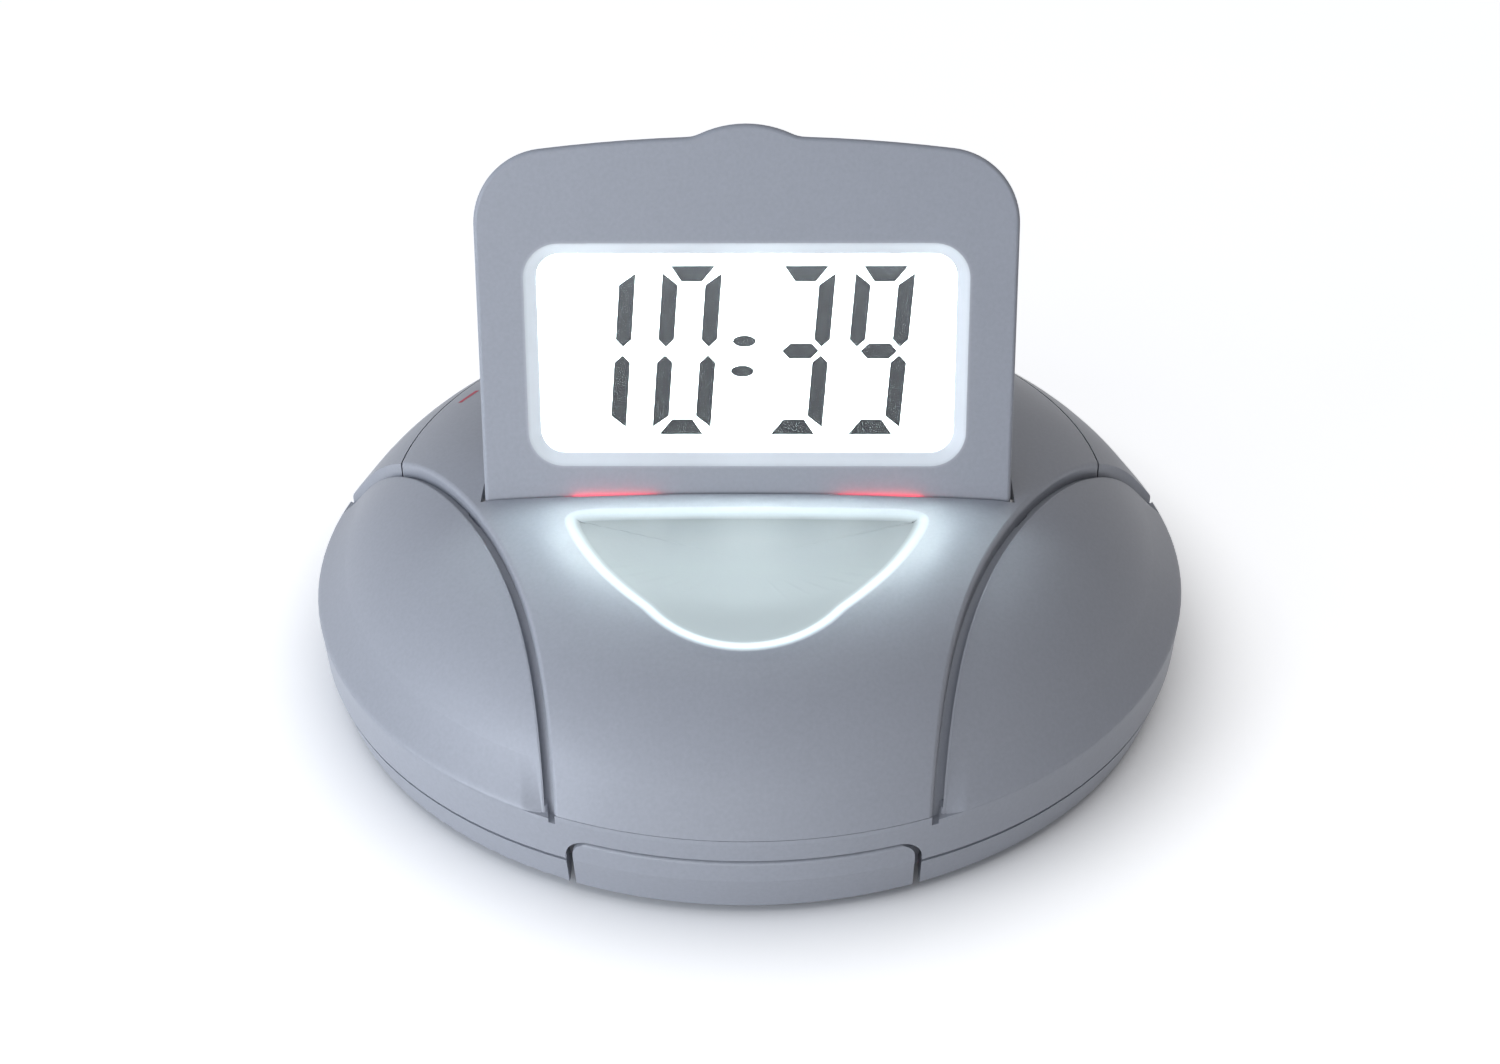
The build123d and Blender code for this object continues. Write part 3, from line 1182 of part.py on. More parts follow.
def eccentric_weight():
    """Half round weight that hangs from a hub on the shaft."""
    end = WEIGHT_START_X + WEIGHT_LENGTH
    weight = lying_rod(WEIGHT_RADIUS, WEIGHT_START_X, end, MOTOR_Y, MOTOR_Z)
    weight &= block((WEIGHT_START_X, end), (-2 * BASE_RADIUS, 0), (0, MOTOR_Z))
    weight += lying_rod(WEIGHT_HUB_RADIUS, WEIGHT_START_X, end, MOTOR_Y, MOTOR_Z)
    return weight - lying_rod(SHAFT_RADIUS, WEIGHT_START_X, end, MOTOR_Y, MOTOR_Z)


def motor_clamp():
    """Bent strap over the can, screwed to the ears of the saddle."""
    x = (SADDLE_X - SADDLE_LENGTH / 2, SADDLE_X + SADDLE_LENGTH / 2)
    strap = can_solid(*x, CLAMP_GAP + CLAMP_SHEET) - can_solid(*x, CLAMP_GAP)
    strap &= block(x, (MOTOR_Y - SADDLE_HALF, MOTOR_Y + SADDLE_HALF), (SADDLE_TOP, TOP_Z))
    inner = MOTOR_FLAT + CLAMP_GAP
    for side in (-1, 1):
        y = sorted((MOTOR_Y + side * inner, MOTOR_Y + side * SADDLE_HALF))
        strap += block(x, y, (SADDLE_TOP, SADDLE_TOP + CLAMP_SHEET))
        strap -= rod(SMALL_SCREW_RADIUS, SADDLE_TOP, MOTOR_Z, SADDLE_X, MOTOR_Y + side * CLAMP_SCREW_Y)
    return strap


def motor_clamp_screws():
    """Two screws through the feet of the strap."""
    seat = SADDLE_TOP + CLAMP_SHEET
    screw = Pos(SADDLE_X, MOTOR_Y, seat) * small_screw(SMALL_SCREW_LENGTH)
    return group([Pos(0, side * CLAMP_SCREW_Y, 0) * screw for side in (-1, 1)])


# Boards
PCB_LOW = FLOOR_Z + PCB_LIFT
PCB_HIGH = PCB_LOW + PCB_THICKNESS
BOX_SIDE = BOX_HALF_X + BOX_WALL
MAIN_PCB_WIDTH = BASE_RADIUS - MAIN_PCB_RIM - BOX_SIDE - MAIN_PCB_ROOM
MAIN_PCB_CENTRE = (-BOX_SIDE - MAIN_PCB_ROOM - MAIN_PCB_WIDTH / 2, MAIN_PCB_Y)
BUZZER_RADIUS = (BASE_RADIUS - BUZZER_RIM - BOX_SIDE - BUZZER_ROOM) / 2
BUZZER_CENTRE = (BOX_SIDE + BUZZER_ROOM + BUZZER_RADIUS, 0.0)


def main_pcb_corners():
    """Two screw places of the main board, at opposite corners."""
    x, y = MAIN_PCB_CENTRE
    dx = MAIN_PCB_WIDTH / 2 - POST_RADIUS
    dy = MAIN_PCB_LENGTH / 2 - POST_RADIUS
    return [(x - dx, y - dy), (x + dx, y + dy)]


def snooze_pcb_corners():
    """Two screw places of the front board, at its ends."""
    x = SNOOZE_PCB_WIDTH / 2 - POST_RADIUS
    y = SNOOZE_SWITCH_FRONT + SEAM_GAP + SNOOZE_PCB_DEPTH - POST_RADIUS
    return [(-x, y), (x, y)]


def drilled(board, places):
    """Board with a hole at each screw place."""
    for x, y in places:
        board -= rod(SMALL_SCREW_RADIUS, PCB_LOW, PCB_HIGH, x, y)
    return board


def main_pcb():
    """Main board beside the battery box."""
    x, y = MAIN_PCB_CENTRE
    dx, dy = MAIN_PCB_WIDTH / 2, MAIN_PCB_LENGTH / 2
    return drilled(block((x - dx, x + dx), (y - dy, y + dy), (PCB_LOW, PCB_HIGH)), main_pcb_corners())


def pcb_screws():
    """Screws of the main and front boards."""
    places = main_pcb_corners() + snooze_pcb_corners()
    return group([Pos(x, y, PCB_HIGH) * small_screw(SMALL_SCREW_LENGTH) for x, y in places])


def clock_chip():
    """Clock circuit on the main board."""
    x, y = MAIN_PCB_CENTRE
    half = CHIP_SIZE / 2
    return block((x - half, x + half), (y - half, y + half), (PCB_HIGH, PCB_HIGH + CHIP_HEIGHT))


def crystal():
    """Quartz crystal lying on the main board."""
    x, y = MAIN_PCB_CENTRE
    can = lying_rod(CRYSTAL_RADIUS, x - CRYSTAL_LENGTH / 2, x + CRYSTAL_LENGTH / 2, 0, 0)
    return Pos(0, y + CHIP_SIZE / 2 + 2 * CRYSTAL_RADIUS, PCB_HIGH + CRYSTAL_RADIUS) * can


def capacitors():
    """Two upright capacitors on the main board."""
    x, y = MAIN_PCB_CENTRE
    reach = CAPACITOR_RADIUS + SEAM_GAP
    place = y - MAIN_PCB_LENGTH / 2 + CAPACITOR_EDGE
    high = PCB_HIGH + CAPACITOR_HEIGHT
    return group([rod(CAPACITOR_RADIUS, PCB_HIGH, high, x + side * reach, place) for side in (-1, 1)])


def buzzer():
    """Round sounder over the holes in the floor."""
    x, y = BUZZER_CENTRE
    shape = rod(BUZZER_RADIUS, FLOOR_Z, FLOOR_Z + BUZZER_HEIGHT, x, y)
    return shape - rod(GRILLE_RING_RADIUS, FLOOR_Z, FLOOR_Z + GRILLE_HOLE_RADIUS, x, y)


# Bottom shell
def foot_places():
    """Places of the rubber feet."""
    return [(FOOT_RING_RADIUS * cos(radians(a)), FOOT_RING_RADIUS * sin(radians(a))) for a in FOOT_AZIMUTHS]


def rubber_feet():
    """Four stick-in feet."""
    feet = []
    for x, y in foot_places():
        foot = rod(FOOT_RADIUS, 0, FOOT_PROUD + FOOT_SUNK, x, y)
        feet.append(fillet(foot.edges().group_by(Axis.Z)[0], FOOT_PROUD / 2))
    return group(feet)


def housing_screws():
    """Four screws from below that hold the two shells together."""
    screws = []
    seat = BOSS_TOP - HOUSING_SCREW_GRIP
    for x, y in housing_screw_places():
        screw = rod(HOUSING_SCREW_HEAD, seat - HOUSING_SCREW_HEAD_HEIGHT, seat, x, y)
        screws.append(screw + rod(HOUSING_SCREW_RADIUS, seat, BOSS_TOP + HOUSING_SCREW_BITE, x, y))
    return group(screws)


def bottom_cover():
    """Lower shell with the battery box, the motor saddle, posts and bosses."""
    bottom = rim_radius(UNDERSIDE_Z)
    groove = rim_radius(PARTING_Z - PARTING_GROOVE)
    tongue = rim_radius(PARTING_Z) - WALL - TONGUE_GAP
    lip = PARTING_Z + TONGUE_HEIGHT
    profile = Polyline(
        (0, 0, UNDERSIDE_Z),
        (bottom, 0, UNDERSIDE_Z),
        (groove, 0, PARTING_Z - PARTING_GROOVE),
        (groove - PARTING_GROOVE_DEPTH, 0, PARTING_Z - PARTING_GROOVE),
        (groove - PARTING_GROOVE_DEPTH, 0, PARTING_Z),
        (tongue, 0, PARTING_Z),
        (tongue, 0, lip),
        (tongue - TONGUE_WALL, 0, lip),
        (bottom - WALL - TONGUE_WALL, 0, FLOOR_Z),
        (0, 0, FLOOR_Z),
        close=True,
    )
    shell = revolve(make_face(profile), Axis.Z)
    edge = [e for e in shell.edges() if abs((e @ 0.5).Z - UNDERSIDE_Z) < NEAR]
    shell = fillet(edge, BOTTOM_ROUND)
    shell -= snooze_notch(0)
    clear = SNOOZE_WIDTH / 2 + SNOOZE_SIDE_GAP + SNOOZE_FLANGE_LAP + SNOOZE_GAP
    inner = rod(snooze_inner_radius() - SNOOZE_FLANGE - SNOOZE_TRAVEL - SNOOZE_GAP, 0, TOP_Z)
    behind = rod(snooze_inner_radius() + SNOOZE_GAP, FLOOR_Z + SEAM_GAP, TOP_Z) - inner
    shell -= behind & block((-clear, clear), (-2 * BASE_RADIUS, 0), (0, TOP_Z))
    shell += box_block(BOX_WALL, FLOOR_Z - SEAM_GAP, BOX_ROOF + BOX_WALL)
    shell -= box_block(0, 0, BOX_ROOF)
    shell -= prism(door_plan(0), 0, DOOR_TOP)
    for x, y in housing_screw_places():
        seat = BOSS_TOP - HOUSING_SCREW_GRIP
        shell += rod(HOUSING_SCREW_HEAD + POCKET_GAP + WALL / 2, UNDERSIDE_Z + BOTTOM_ROUND, BOSS_TOP, x, y)
        shell -= rod(HOUSING_SCREW_HEAD + POCKET_GAP, 0, seat, x, y)
        shell -= rod(HOUSING_SCREW_RADIUS, 0, BOSS_TOP, x, y)
    for x, y in foot_places():
        shell -= rod(FOOT_RADIUS, 0, UNDERSIDE_Z + FOOT_SUNK, x, y)
    for x, y in main_pcb_corners() + snooze_pcb_corners():
        shell += rod(POST_RADIUS, FLOOR_Z - SEAM_GAP, PCB_LOW, x, y)
        shell -= rod(SMALL_SCREW_RADIUS, PCB_HIGH - SMALL_SCREW_LENGTH, PCB_LOW, x, y)
    shell += saddle()
    shell += snooze_guides()
    for hole in grille():
        shell -= hole
    return shell


def saddle():
    """Cradle under the motor, with an ear on each side for the strap."""
    x = (SADDLE_X - SADDLE_LENGTH / 2, SADDLE_X + SADDLE_LENGTH / 2)
    y = (MOTOR_Y - SADDLE_HALF, MOTOR_Y + SADDLE_HALF)
    cradle = block(x, y, (FLOOR_Z - SEAM_GAP, SADDLE_TOP))
    cradle -= can_solid(MOTOR_START_X, MOTOR_END_X, CLAMP_GAP)
    for side in (-1, 1):
        low = SADDLE_TOP + CLAMP_SHEET - SMALL_SCREW_LENGTH
        cradle -= rod(SMALL_SCREW_RADIUS, low, SADDLE_TOP, SADDLE_X, MOTOR_Y + side * CLAMP_SCREW_Y)
    return cradle


def snooze_guides():
    """Two lugs whose holes guide the pins of the press bar."""
    lugs = []
    front = snooze_guide_front()
    rear = front + SNOOZE_GUIDE
    half = SNOOZE_PIN_RADIUS + BOX_WALL
    for x in (-SNOOZE_PIN_SPACING / 2, SNOOZE_PIN_SPACING / 2):
        lug = block((x - half, x + half), (front, rear), (FLOOR_Z - SEAM_GAP, SNOOZE_PIN_Z + half))
        lugs.append(lug - snooze_pin(SNOOZE_PIN_RADIUS + HINGE_CLEARANCE, x, front, rear))
    return lugs


def grille():
    """Ring of sound holes under the buzzer."""
    x, y = BUZZER_CENTRE
    holes = [rod(GRILLE_HOLE_RADIUS, 0, FLOOR_Z, x, y)]
    for i in range(GRILLE_HOLES):
        angle = 2 * pi * i / GRILLE_HOLES
        reach = GRILLE_RING_RADIUS - GRILLE_HOLE_RADIUS
        holes.append(rod(GRILLE_HOLE_RADIUS, 0, FLOOR_Z, x + reach * cos(angle), y + reach * sin(angle)))
    return holes


KEY_NAMES = ("alarm", "time", "minute", "hour")

NODES = {
    "bottom_cover": bottom_cover(),
    "upper_housing": upper_housing(),
    "top_cover": top_cover(),
    "display_bezel": display_bezel(),
    "display_back": display_back(),
    "display_window": display_window(),
    "lcd_panel": lcd_panel(),
    "backlight_diffuser": backlight_diffuser(),
    "backlight_leds": backlight_leds(),
    "zebra_strip": zebra_strip(),
    "display_pcb": display_pcb(),
    "display_screws": display_screws(),
    "hinge_pin_left": hinge_pin(-1),
    "hinge_pin_right": hinge_pin(1),
    "alarm_light_bars": group([lamp_bar(-1), lamp_bar(1)]),
    "alarm_leds": group([lamp_chip(-1), lamp_chip(1)]),
    "snooze_button": snooze_button(),
    "snooze_switch_plunger": snooze_switch_plunger(),
    "snooze_switch_body": snooze_switch_body(),
    "snooze_pcb": snooze_pcb(),
    "set_switch_bodies": set_switch_bodies(),
    "set_pcb": set_pcb(),
    "set_pcb_screws": set_pcb_screws(),
    "mode_knob": mode_knob(),
    "mode_switch_lever": mode_switch_lever(),
    "mode_switch_body": mode_switch_body(),
    "mode_switch_screws": mode_switch_screws(),
    "battery_door": battery_door(),
    "battery_cells": battery_cells(),
    "battery_spring_contacts": battery_spring_contacts(),
    "battery_plate_contacts": battery_plate_contacts(),
    "motor_can": motor_can(),
    "motor_end_cap": motor_end_cap(),
    "motor_shaft": motor_shaft(),
    "eccentric_weight": eccentric_weight(),
    "motor_clamp": motor_clamp(),
    "motor_clamp_screws": motor_clamp_screws(),
    "main_pcb": main_pcb(),
    "pcb_screws": pcb_screws(),
    "clock_chip": clock_chip(),
    "crystal": crystal(),
    "capacitors": capacitors(),
    "buzzer": buzzer(),
    "rubber_feet": rubber_feet(),
    "housing_screws": housing_screws(),
}
for name, place in zip(KEY_NAMES, KEY_PLACES):
    NODES[name + "_button"] = set_key(place)
    NODES[name + "_switch_plunger"] = set_plunger(place)

os.makedirs("parts", exist_ok=True)
for name, shape in NODES.items():
    export_step(shape, "parts/" + name + ".step")
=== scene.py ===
import json
from math import acos, atan2, cos, hypot, pi, radians, sin, sqrt

import bmesh
import bpy
from mathutils import Matrix, Vector


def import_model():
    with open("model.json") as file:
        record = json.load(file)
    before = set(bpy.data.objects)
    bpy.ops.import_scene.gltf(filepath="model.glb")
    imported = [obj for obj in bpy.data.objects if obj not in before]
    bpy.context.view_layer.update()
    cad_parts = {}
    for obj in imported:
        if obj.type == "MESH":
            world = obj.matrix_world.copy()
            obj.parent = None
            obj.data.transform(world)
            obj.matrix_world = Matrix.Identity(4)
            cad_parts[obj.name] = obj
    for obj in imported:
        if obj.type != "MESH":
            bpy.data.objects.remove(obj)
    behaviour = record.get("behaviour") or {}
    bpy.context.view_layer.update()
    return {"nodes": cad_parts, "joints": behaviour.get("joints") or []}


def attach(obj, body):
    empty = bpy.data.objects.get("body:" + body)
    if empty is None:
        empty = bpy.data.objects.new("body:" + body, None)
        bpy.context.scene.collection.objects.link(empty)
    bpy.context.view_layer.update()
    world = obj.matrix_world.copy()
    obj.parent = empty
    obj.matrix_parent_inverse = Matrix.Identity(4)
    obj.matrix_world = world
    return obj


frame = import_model()
NODES = frame["nodes"]
JOINTS = {joint["name"]: joint for joint in frame["joints"]}
MM = 0.001
DOWN = Vector((0, 0, -1))

# Photograph in pixels and its camera in metres, fitted to the base and the display
FRAME_WIDTH = 1500
FRAME_HEIGHT = 1064
FOCAL_PIXELS = 2000.0
OPTICAL_CENTRE = (748.8, 491.6)
SENSOR = 36.0
CAMERA_TARGET = Vector((0.0, 0.0, 20.8)) * MM
CAMERA_DISTANCE = 253.87 * MM
CAMERA_ELEVATION = radians(33.23)
CAMERA_YAW = radians(1.05)
CAMERA_ROLL = radians(-0.53)
CAMERA_NEAR = 10.0 * MM

# Display frame in metres, from the hinge: ACROSS the face, UP the face, OUT of the face
FOLD = JOINTS["display_fold"]
LEAN = radians(90 - FOLD["range_deg"][1])
HINGE_DROP = 3.2 * MM
HINGE_DEPTH = 2.5 * MM
ACROSS = Vector((1, 0, 0))
UP = Vector((0, sin(LEAN), cos(LEAN)))
OUT = Vector((0, -cos(LEAN), sin(LEAN)))
FACE_ORIGIN = Vector(FOLD["pos_m"]) + UP * HINGE_DROP + OUT * HINGE_DEPTH
GLASS_DEPTH = 2.7 * MM
INK_LIFT = 0.015 * MM
INK_THICKNESS = 0.02 * MM

# Window of the display, in millimetres on its face
WINDOW_HALF = (26.1, 13.45)
WINDOW_MIDDLE = 16.7
WINDOW_CORNER = 4.2
WINDOW_SOFT = 0.35

# Digits of the display, in millimetres on the glass: the cell, its bars and the tips at half its height
DIGIT_WIDTH = 7.06
DIGIT_HEIGHT = 20.6
DIGIT_FOOT = 6.45
DIGIT_STROKE = 1.93
DIGIT_SLANT = 0.081
BAR_OUTER = 0.85
BAR_INNER = 2.3
TIP = 0.465
TIP_SIDE = 1.4
MIDDLE_LEFT = 1.41
MIDDLE_RIGHT = 1.21
MIDDLE_POINT = 0.93
DIGITS = ((-21.74, "bc"), (-11.53, "abcdef"), (1.91, "abcdg"), (11.25, "abcdfg"))
COLON_SIZE = (2.8, 1.42)
COLON_PLACES = ((-0.30, 17.95), (-0.56, 14.29))
COLON_STEPS = 32

# Outer dome of the base, in millimetres: crown and shoulder, as in the solids
CROWN_RADIUS = 600.0
CROWN_TOP = 28.0
SHOULDER_RADIUS = 28.0
SHOULDER_PLACE = (29.598, -0.766)

# How far print and added faces lie off the solids, in millimetres
SKIN = 0.02

# Face of the scoop, in millimetres: an outline sounded from its middle, and a bevel down to its floor
SCOOP_MIDDLE = (0.0, -24.0)
SCOOP_SOUNDING = 0.6
SCOOP_STEPS = 360
SCOOP_HALVINGS = 12
SCOOP_SMOOTHING = 12
SCOOP_LAP = 1.0
SCOOP_BEVEL = 1.9
SCOOP_REAR_BEVEL = 2.2
SCOOP_REAR_POWER = 4
SCOOP_DEPTH = 0.4
SCOOP_BEVEL_RINGS = 6
SCOOP_FLOOR_RINGS = 10
# Painted light of the display on the scoop: its share along the bevel and out on the floor
RIM_PAINTED_LIGHT = 0.45
FLOOR_PAINTED_LIGHT = 0.5

# Soft outer edge of a side pad, in millimetres: the circle that bounds the pad, and heights with their lift
PAD_ARC_RADIUS = 94.6
PAD_ARC_PLACE = (116.2, -61.0)
PAD_EDGE_ROWS = ((10.9, 0.01), (11.55, 0.02), (11.8, 0.64), (12.0, 0.66), (12.3, 0.59), (13.0, 0.43),
                 (14.0, 0.233), (15.0, 0.083), (15.6, 0.02), (16.0, -0.015))
PAD_EDGE_STEPS = 180
PAD_EDGE_TAPER = 2.0
PAD_EDGE_OUTSIDE = 80.0

# Red index mark on the rear left of the top, in millimetres
MARK_ENDS = ((-38.6, 15.9), (-36.5, 18.4))
MARK_WIDTH = 0.8
MARK_STEPS = 8
MARK_ABOVE = 100.0

# Silver plastic, and the painted light that makes the bezel's bevel and the scoop bright, standing in for
# the display's light
SILVER_COLOUR = (0.41, 0.425, 0.465)
SILVER_ROUGH = 0.42
SATIN_SPECULAR = 0.3
BEVEL_BASE_UNDER_PAINTED_LIGHT = (0.32, 0.33, 0.36)
BEVEL_PAINTED_LIGHT = (0.26, 0.27, 0.29)
# Darker base of the scoop's floor, and the colours of the painted light on the scoop
SCOOP_BASE_UNDER_PAINTED_LIGHT = (0.135, 0.142, 0.152)
SCOOP_PAINTED_LIGHT = ((0.0, (0.0, 0.0, 0.0)), (0.5, (0.38, 0.45, 0.47)), (1.0, (0.85, 0.92, 0.94)))

# Noise in the materials: the span that it fills, and how tone and polish drift with it
NOISE_SPAN = (0.3, 0.7)
FLAKE_SHARE = 0.6
SATIN_POLISH_DRIFT = 0.05
BRUSHED_POLISH_DRIFT = 0.08
BRUSHED_TONES = (0.85, 1.08)
RELIEF_DEPTH = 0.1 * MM

# Liquid crystal segments: the share of streaks and the tones from the foot of a digit to its top
STREAK_SHARE = 0.3
INK_STOPS = ((0.1, (0.004, 0.004, 0.0045)), (1.0, (0.045, 0.045, 0.048)))

# Stage, in metres: floor, real and painted soft shadow where the object meets it, surroundings and lamps
FLOOR_SIZE = 6.0
FLOOR_TONES = (0.80, 0.82)
CONTACT_SHADOW = 0.02
CONTACT_STOPS = ((0.3, (0.0, 0.0, 0.0)), (0.95, (0.8, 0.8, 0.8)))
LIGHT_SIDE = (-0.8, -0.5, 0.3)
WORLD_STOPS = ((0.15, (0.09, 0.065, 0.035)), (0.9, (0.28, 0.32, 0.40)))
LAMPS = {
    "key": {"place": (-0.24, -0.18, 0.10), "size": 0.18, "power": 0.46, "colour": (0.85, 0.91, 1.0)},
    "front": {"place": (-0.10, -0.60, 0.12), "size": 0.40, "power": 0.9, "colour": (1.0, 1.0, 1.0)},
}


# Node helpers
def material(name):
    """New node material with its nodes, links and principled shader."""
    made = bpy.data.materials.new(name)
    made.use_nodes = True
    nodes, links = made.node_tree.nodes, made.node_tree.links
    return made, nodes, links, nodes["Principled BSDF"]


def plug(links, socket, value):
    """Link an output to a socket, or set the socket to a constant."""
    if isinstance(value, bpy.types.NodeSocket):
        links.new(value, socket)
    else:
        socket.default_value = value


def calc(nodes, links, operation, *values):
    """Result of a math node."""
    made = nodes.new("ShaderNodeMath")
    made.operation = operation
    for socket, value in zip(made.inputs, values):
        plug(links, socket, value)
    return made.outputs["Value"]


def calc_vector(nodes, links, operation, *values):
    """Result of a vector math node, which is a number for some operations."""
    made = nodes.new("ShaderNodeVectorMath")
    made.operation = operation
    for socket, value in zip(made.inputs, values):
        plug(links, socket, value)
    return made.outputs["Value" if operation in ("DOT_PRODUCT", "LENGTH") else "Vector"]


def share_between(nodes, links, value, start, end):
    """Share of the way from start to end, held between zero and one."""
    made = nodes.new("ShaderNodeMapRange")
    made.inputs["From Min"].default_value = start
    made.inputs["From Max"].default_value = end
    links.new(value, made.inputs["Value"])
    return made.outputs["Result"]


def noise(nodes, links, scale, detail=2.0, stretch=(1, 1, 1)):
    """Noise over the object's own coordinates, at a scale per metre."""
    mapping = nodes.new("ShaderNodeMapping")
    mapping.inputs["Scale"].default_value = stretch
    texture = nodes.new("ShaderNodeTexNoise")
    texture.inputs["Scale"].default_value = scale
    texture.inputs["Detail"].default_value = detail
    links.new(nodes.new("ShaderNodeTexCoord").outputs["Object"], mapping.inputs["Vector"])
    links.new(mapping.outputs["Vector"], texture.inputs["Vector"])
    return texture.outputs["Fac"]


def ramp(nodes, links, value, stops):
    """Colours over a value."""
    made = nodes.new("ShaderNodeValToRGB")
    points = made.color_ramp.elements
    while len(points) < len(stops):
        points.new(0.5)
    for point, (place, colour) in zip(points, stops):
        point.position = place
        point.color = (*colour, 1)
    links.new(value, made.inputs["Fac"])
    return made.outputs["Color"]


def drift(nodes, links, value, low, high):
    """Colours that drift with a noise, from low to high."""
    return ramp(nodes, links, value, tuple(zip(NOISE_SPAN, (low, high))))


def bump(nodes, links, value, shader, strength):
    """Fine relief from a value."""
    made = nodes.new("ShaderNodeBump")
    made.inputs["Strength"].default_value = strength
    made.inputs["Distance"].default_value = RELIEF_DEPTH
    links.new(value, made.inputs["Height"])
    links.new(made.outputs["Normal"], shader.inputs["Normal"])


def recolour(nodes, links, shader, share, colour):
    """Let a colour take over from the base colour by a share."""
    blend = nodes.new("ShaderNodeMix")
    blend.data_type = "RGBA"
    blend.inputs["B"].default_value = (*colour, 1)
    links.new(share, blend.inputs["Factor"])
    links.new(shader.inputs["Base Color"].links[0].from_socket, blend.inputs["A"])
    links.new(blend.outputs["Result"], shader.inputs["Base Color"])


def light_up(links, shader, colour, strength=1.0):
    """Let a shader give off a colour."""
    plug(links, shader.inputs["Emission Color"], colour)
    plug(links, shader.inputs["Emission Strength"], strength)


def rays(nodes, links, *kinds):
    """One for the named kinds of rays, and zero for the others."""
    path = nodes.new("ShaderNodeLightPath")
    found = path.outputs[kinds[0]]
    for kind in kinds[1:]:
        found = calc(nodes, links, "MAXIMUM", found, path.outputs[kind])
    return found


def tint(colour, share):
    """A colour made lighter or darker."""
    return tuple(min(1.0, c * share) for c in colour)


def grey(value):
    """A colour without a hue."""
    return (value, value, value)


# Finishes
def satin(name, colour, rough=0.4, metal=0.0, grain=2200.0, spread=0.05, relief=0.05):
    """Moulded satin surface: fine flake, slow drift of tone and polish, micro texture."""
    made, nodes, links, shader = material(name)
    flake = noise(nodes, links, scale=grain)
    cloud = noise(nodes, links, scale=45.0, detail=3.0)
    rest = calc(nodes, links, "MULTIPLY", cloud, 1 - FLAKE_SHARE)
    mixed = calc(nodes, links, "MULTIPLY_ADD", flake, FLAKE_SHARE, rest)
    tone = drift(nodes, links, mixed, tint(colour, 1 - spread), tint(colour, 1 + spread))
    links.new(tone, shader.inputs["Base Color"])
    smooth, coarse = rough - SATIN_POLISH_DRIFT, rough + SATIN_POLISH_DRIFT
    polish = drift(nodes, links, cloud, grey(smooth), grey(coarse))
    links.new(polish, shader.inputs["Roughness"])
    shader.inputs["Specular IOR Level"].default_value = SATIN_SPECULAR
    shader.inputs["Metallic"].default_value = metal
    bump(nodes, links, flake, shader, relief)
    return made


def brushed(name, colour, rough=0.3, stretch=(1, 20, 20)):
    """Drawn or turned metal with fine lines."""
    made, nodes, links, shader = material(name)
    lines = noise(nodes, links, scale=300.0, detail=3.0, stretch=stretch)
    tone = drift(nodes, links, lines, *(tint(colour, share) for share in BRUSHED_TONES))
    links.new(tone, shader.inputs["Base Color"])
    smooth, coarse = rough - BRUSHED_POLISH_DRIFT, rough + BRUSHED_POLISH_DRIFT
    polish = drift(nodes, links, lines, grey(smooth), grey(coarse))
    links.new(polish, shader.inputs["Roughness"])
    shader.inputs["Metallic"].default_value = 1.0
    bump(nodes, links, lines, shader, strength=0.1)
    return made


def glowing(name, colour, strength, edge=0.9):
    """Lit surface with a slow drift in its brightness."""
    made, nodes, links, shader = material(name)
    cloud = noise(nodes, links, scale=60.0)
    shade = drift(nodes, links, cloud, tint(colour, edge), colour)
    links.new(shade, shader.inputs["Base Color"])
    light_up(links, shader, shade, strength)
    shader.inputs["Roughness"].default_value = 0.35
    return made


def window_glass():
    """Clear moulded window with a faint ripple."""
    made, nodes, links, shader = material("window_clear")
    ripple = noise(nodes, links, scale=120.0, detail=1.0)
    tone = drift(nodes, links, ripple, (0.93, 0.95, 0.96), (0.97, 0.985, 0.99))
    links.new(tone, shader.inputs["Base Color"])
    polish = drift(nodes, links, ripple, grey(0.04), grey(0.08))
    links.new(polish, shader.inputs["Roughness"])
    shader.inputs["Alpha"].default_value = 0.06
    bump(nodes, links, ripple, shader, strength=0.01)
    return made


def segment_ink():
    """Dark liquid crystal segments, paler towards the top of the glass."""
    made, nodes, links, shader = material("segment_ink")
    parts = nodes.new("ShaderNodeSeparateXYZ")
    links.new(nodes.new("ShaderNodeTexCoord").outputs["Object"], parts.inputs[0])
    low = FACE_ORIGIN.z + DIGIT_FOOT * MM * UP.z
    risen = share_between(nodes, links, parts.outputs["Z"], low, low + DIGIT_HEIGHT * MM * UP.z)
    streak = noise(nodes, links, scale=500.0, detail=3.0, stretch=(1, 1, 0.2))
    mixed = calc(nodes, links, "MULTIPLY_ADD", streak, STREAK_SHARE, risen)
    links.new(ramp(nodes, links, mixed, INK_STOPS), shader.inputs["Base Color"])
    shader.inputs["Roughness"].default_value = 0.5
    shader.inputs["Specular IOR Level"].default_value = 0.0
    return made


def attribute(nodes, name):
    """Value that the vertices of a piece hold."""
    made = nodes.new("ShaderNodeAttribute")
    made.attribute_name = name
    return made.outputs["Fac"]


def scoop_with_painted_light():
    """Satin of the scoop, with a darker base on its floor and painted light on its bevel and floor for the
    display's light.
    """
    made = satin("scoop_with_painted_light", SILVER_COLOUR, SILVER_ROUGH)
    nodes, links = made.node_tree.nodes, made.node_tree.links
    shader = nodes["Principled BSDF"]
    recolour(nodes, links, shader, attribute(nodes, "floor_share"), SCOOP_BASE_UNDER_PAINTED_LIGHT)
    light_up(links, shader, ramp(nodes, links, attribute(nodes, "rim"), SCOOP_PAINTED_LIGHT))
    return made


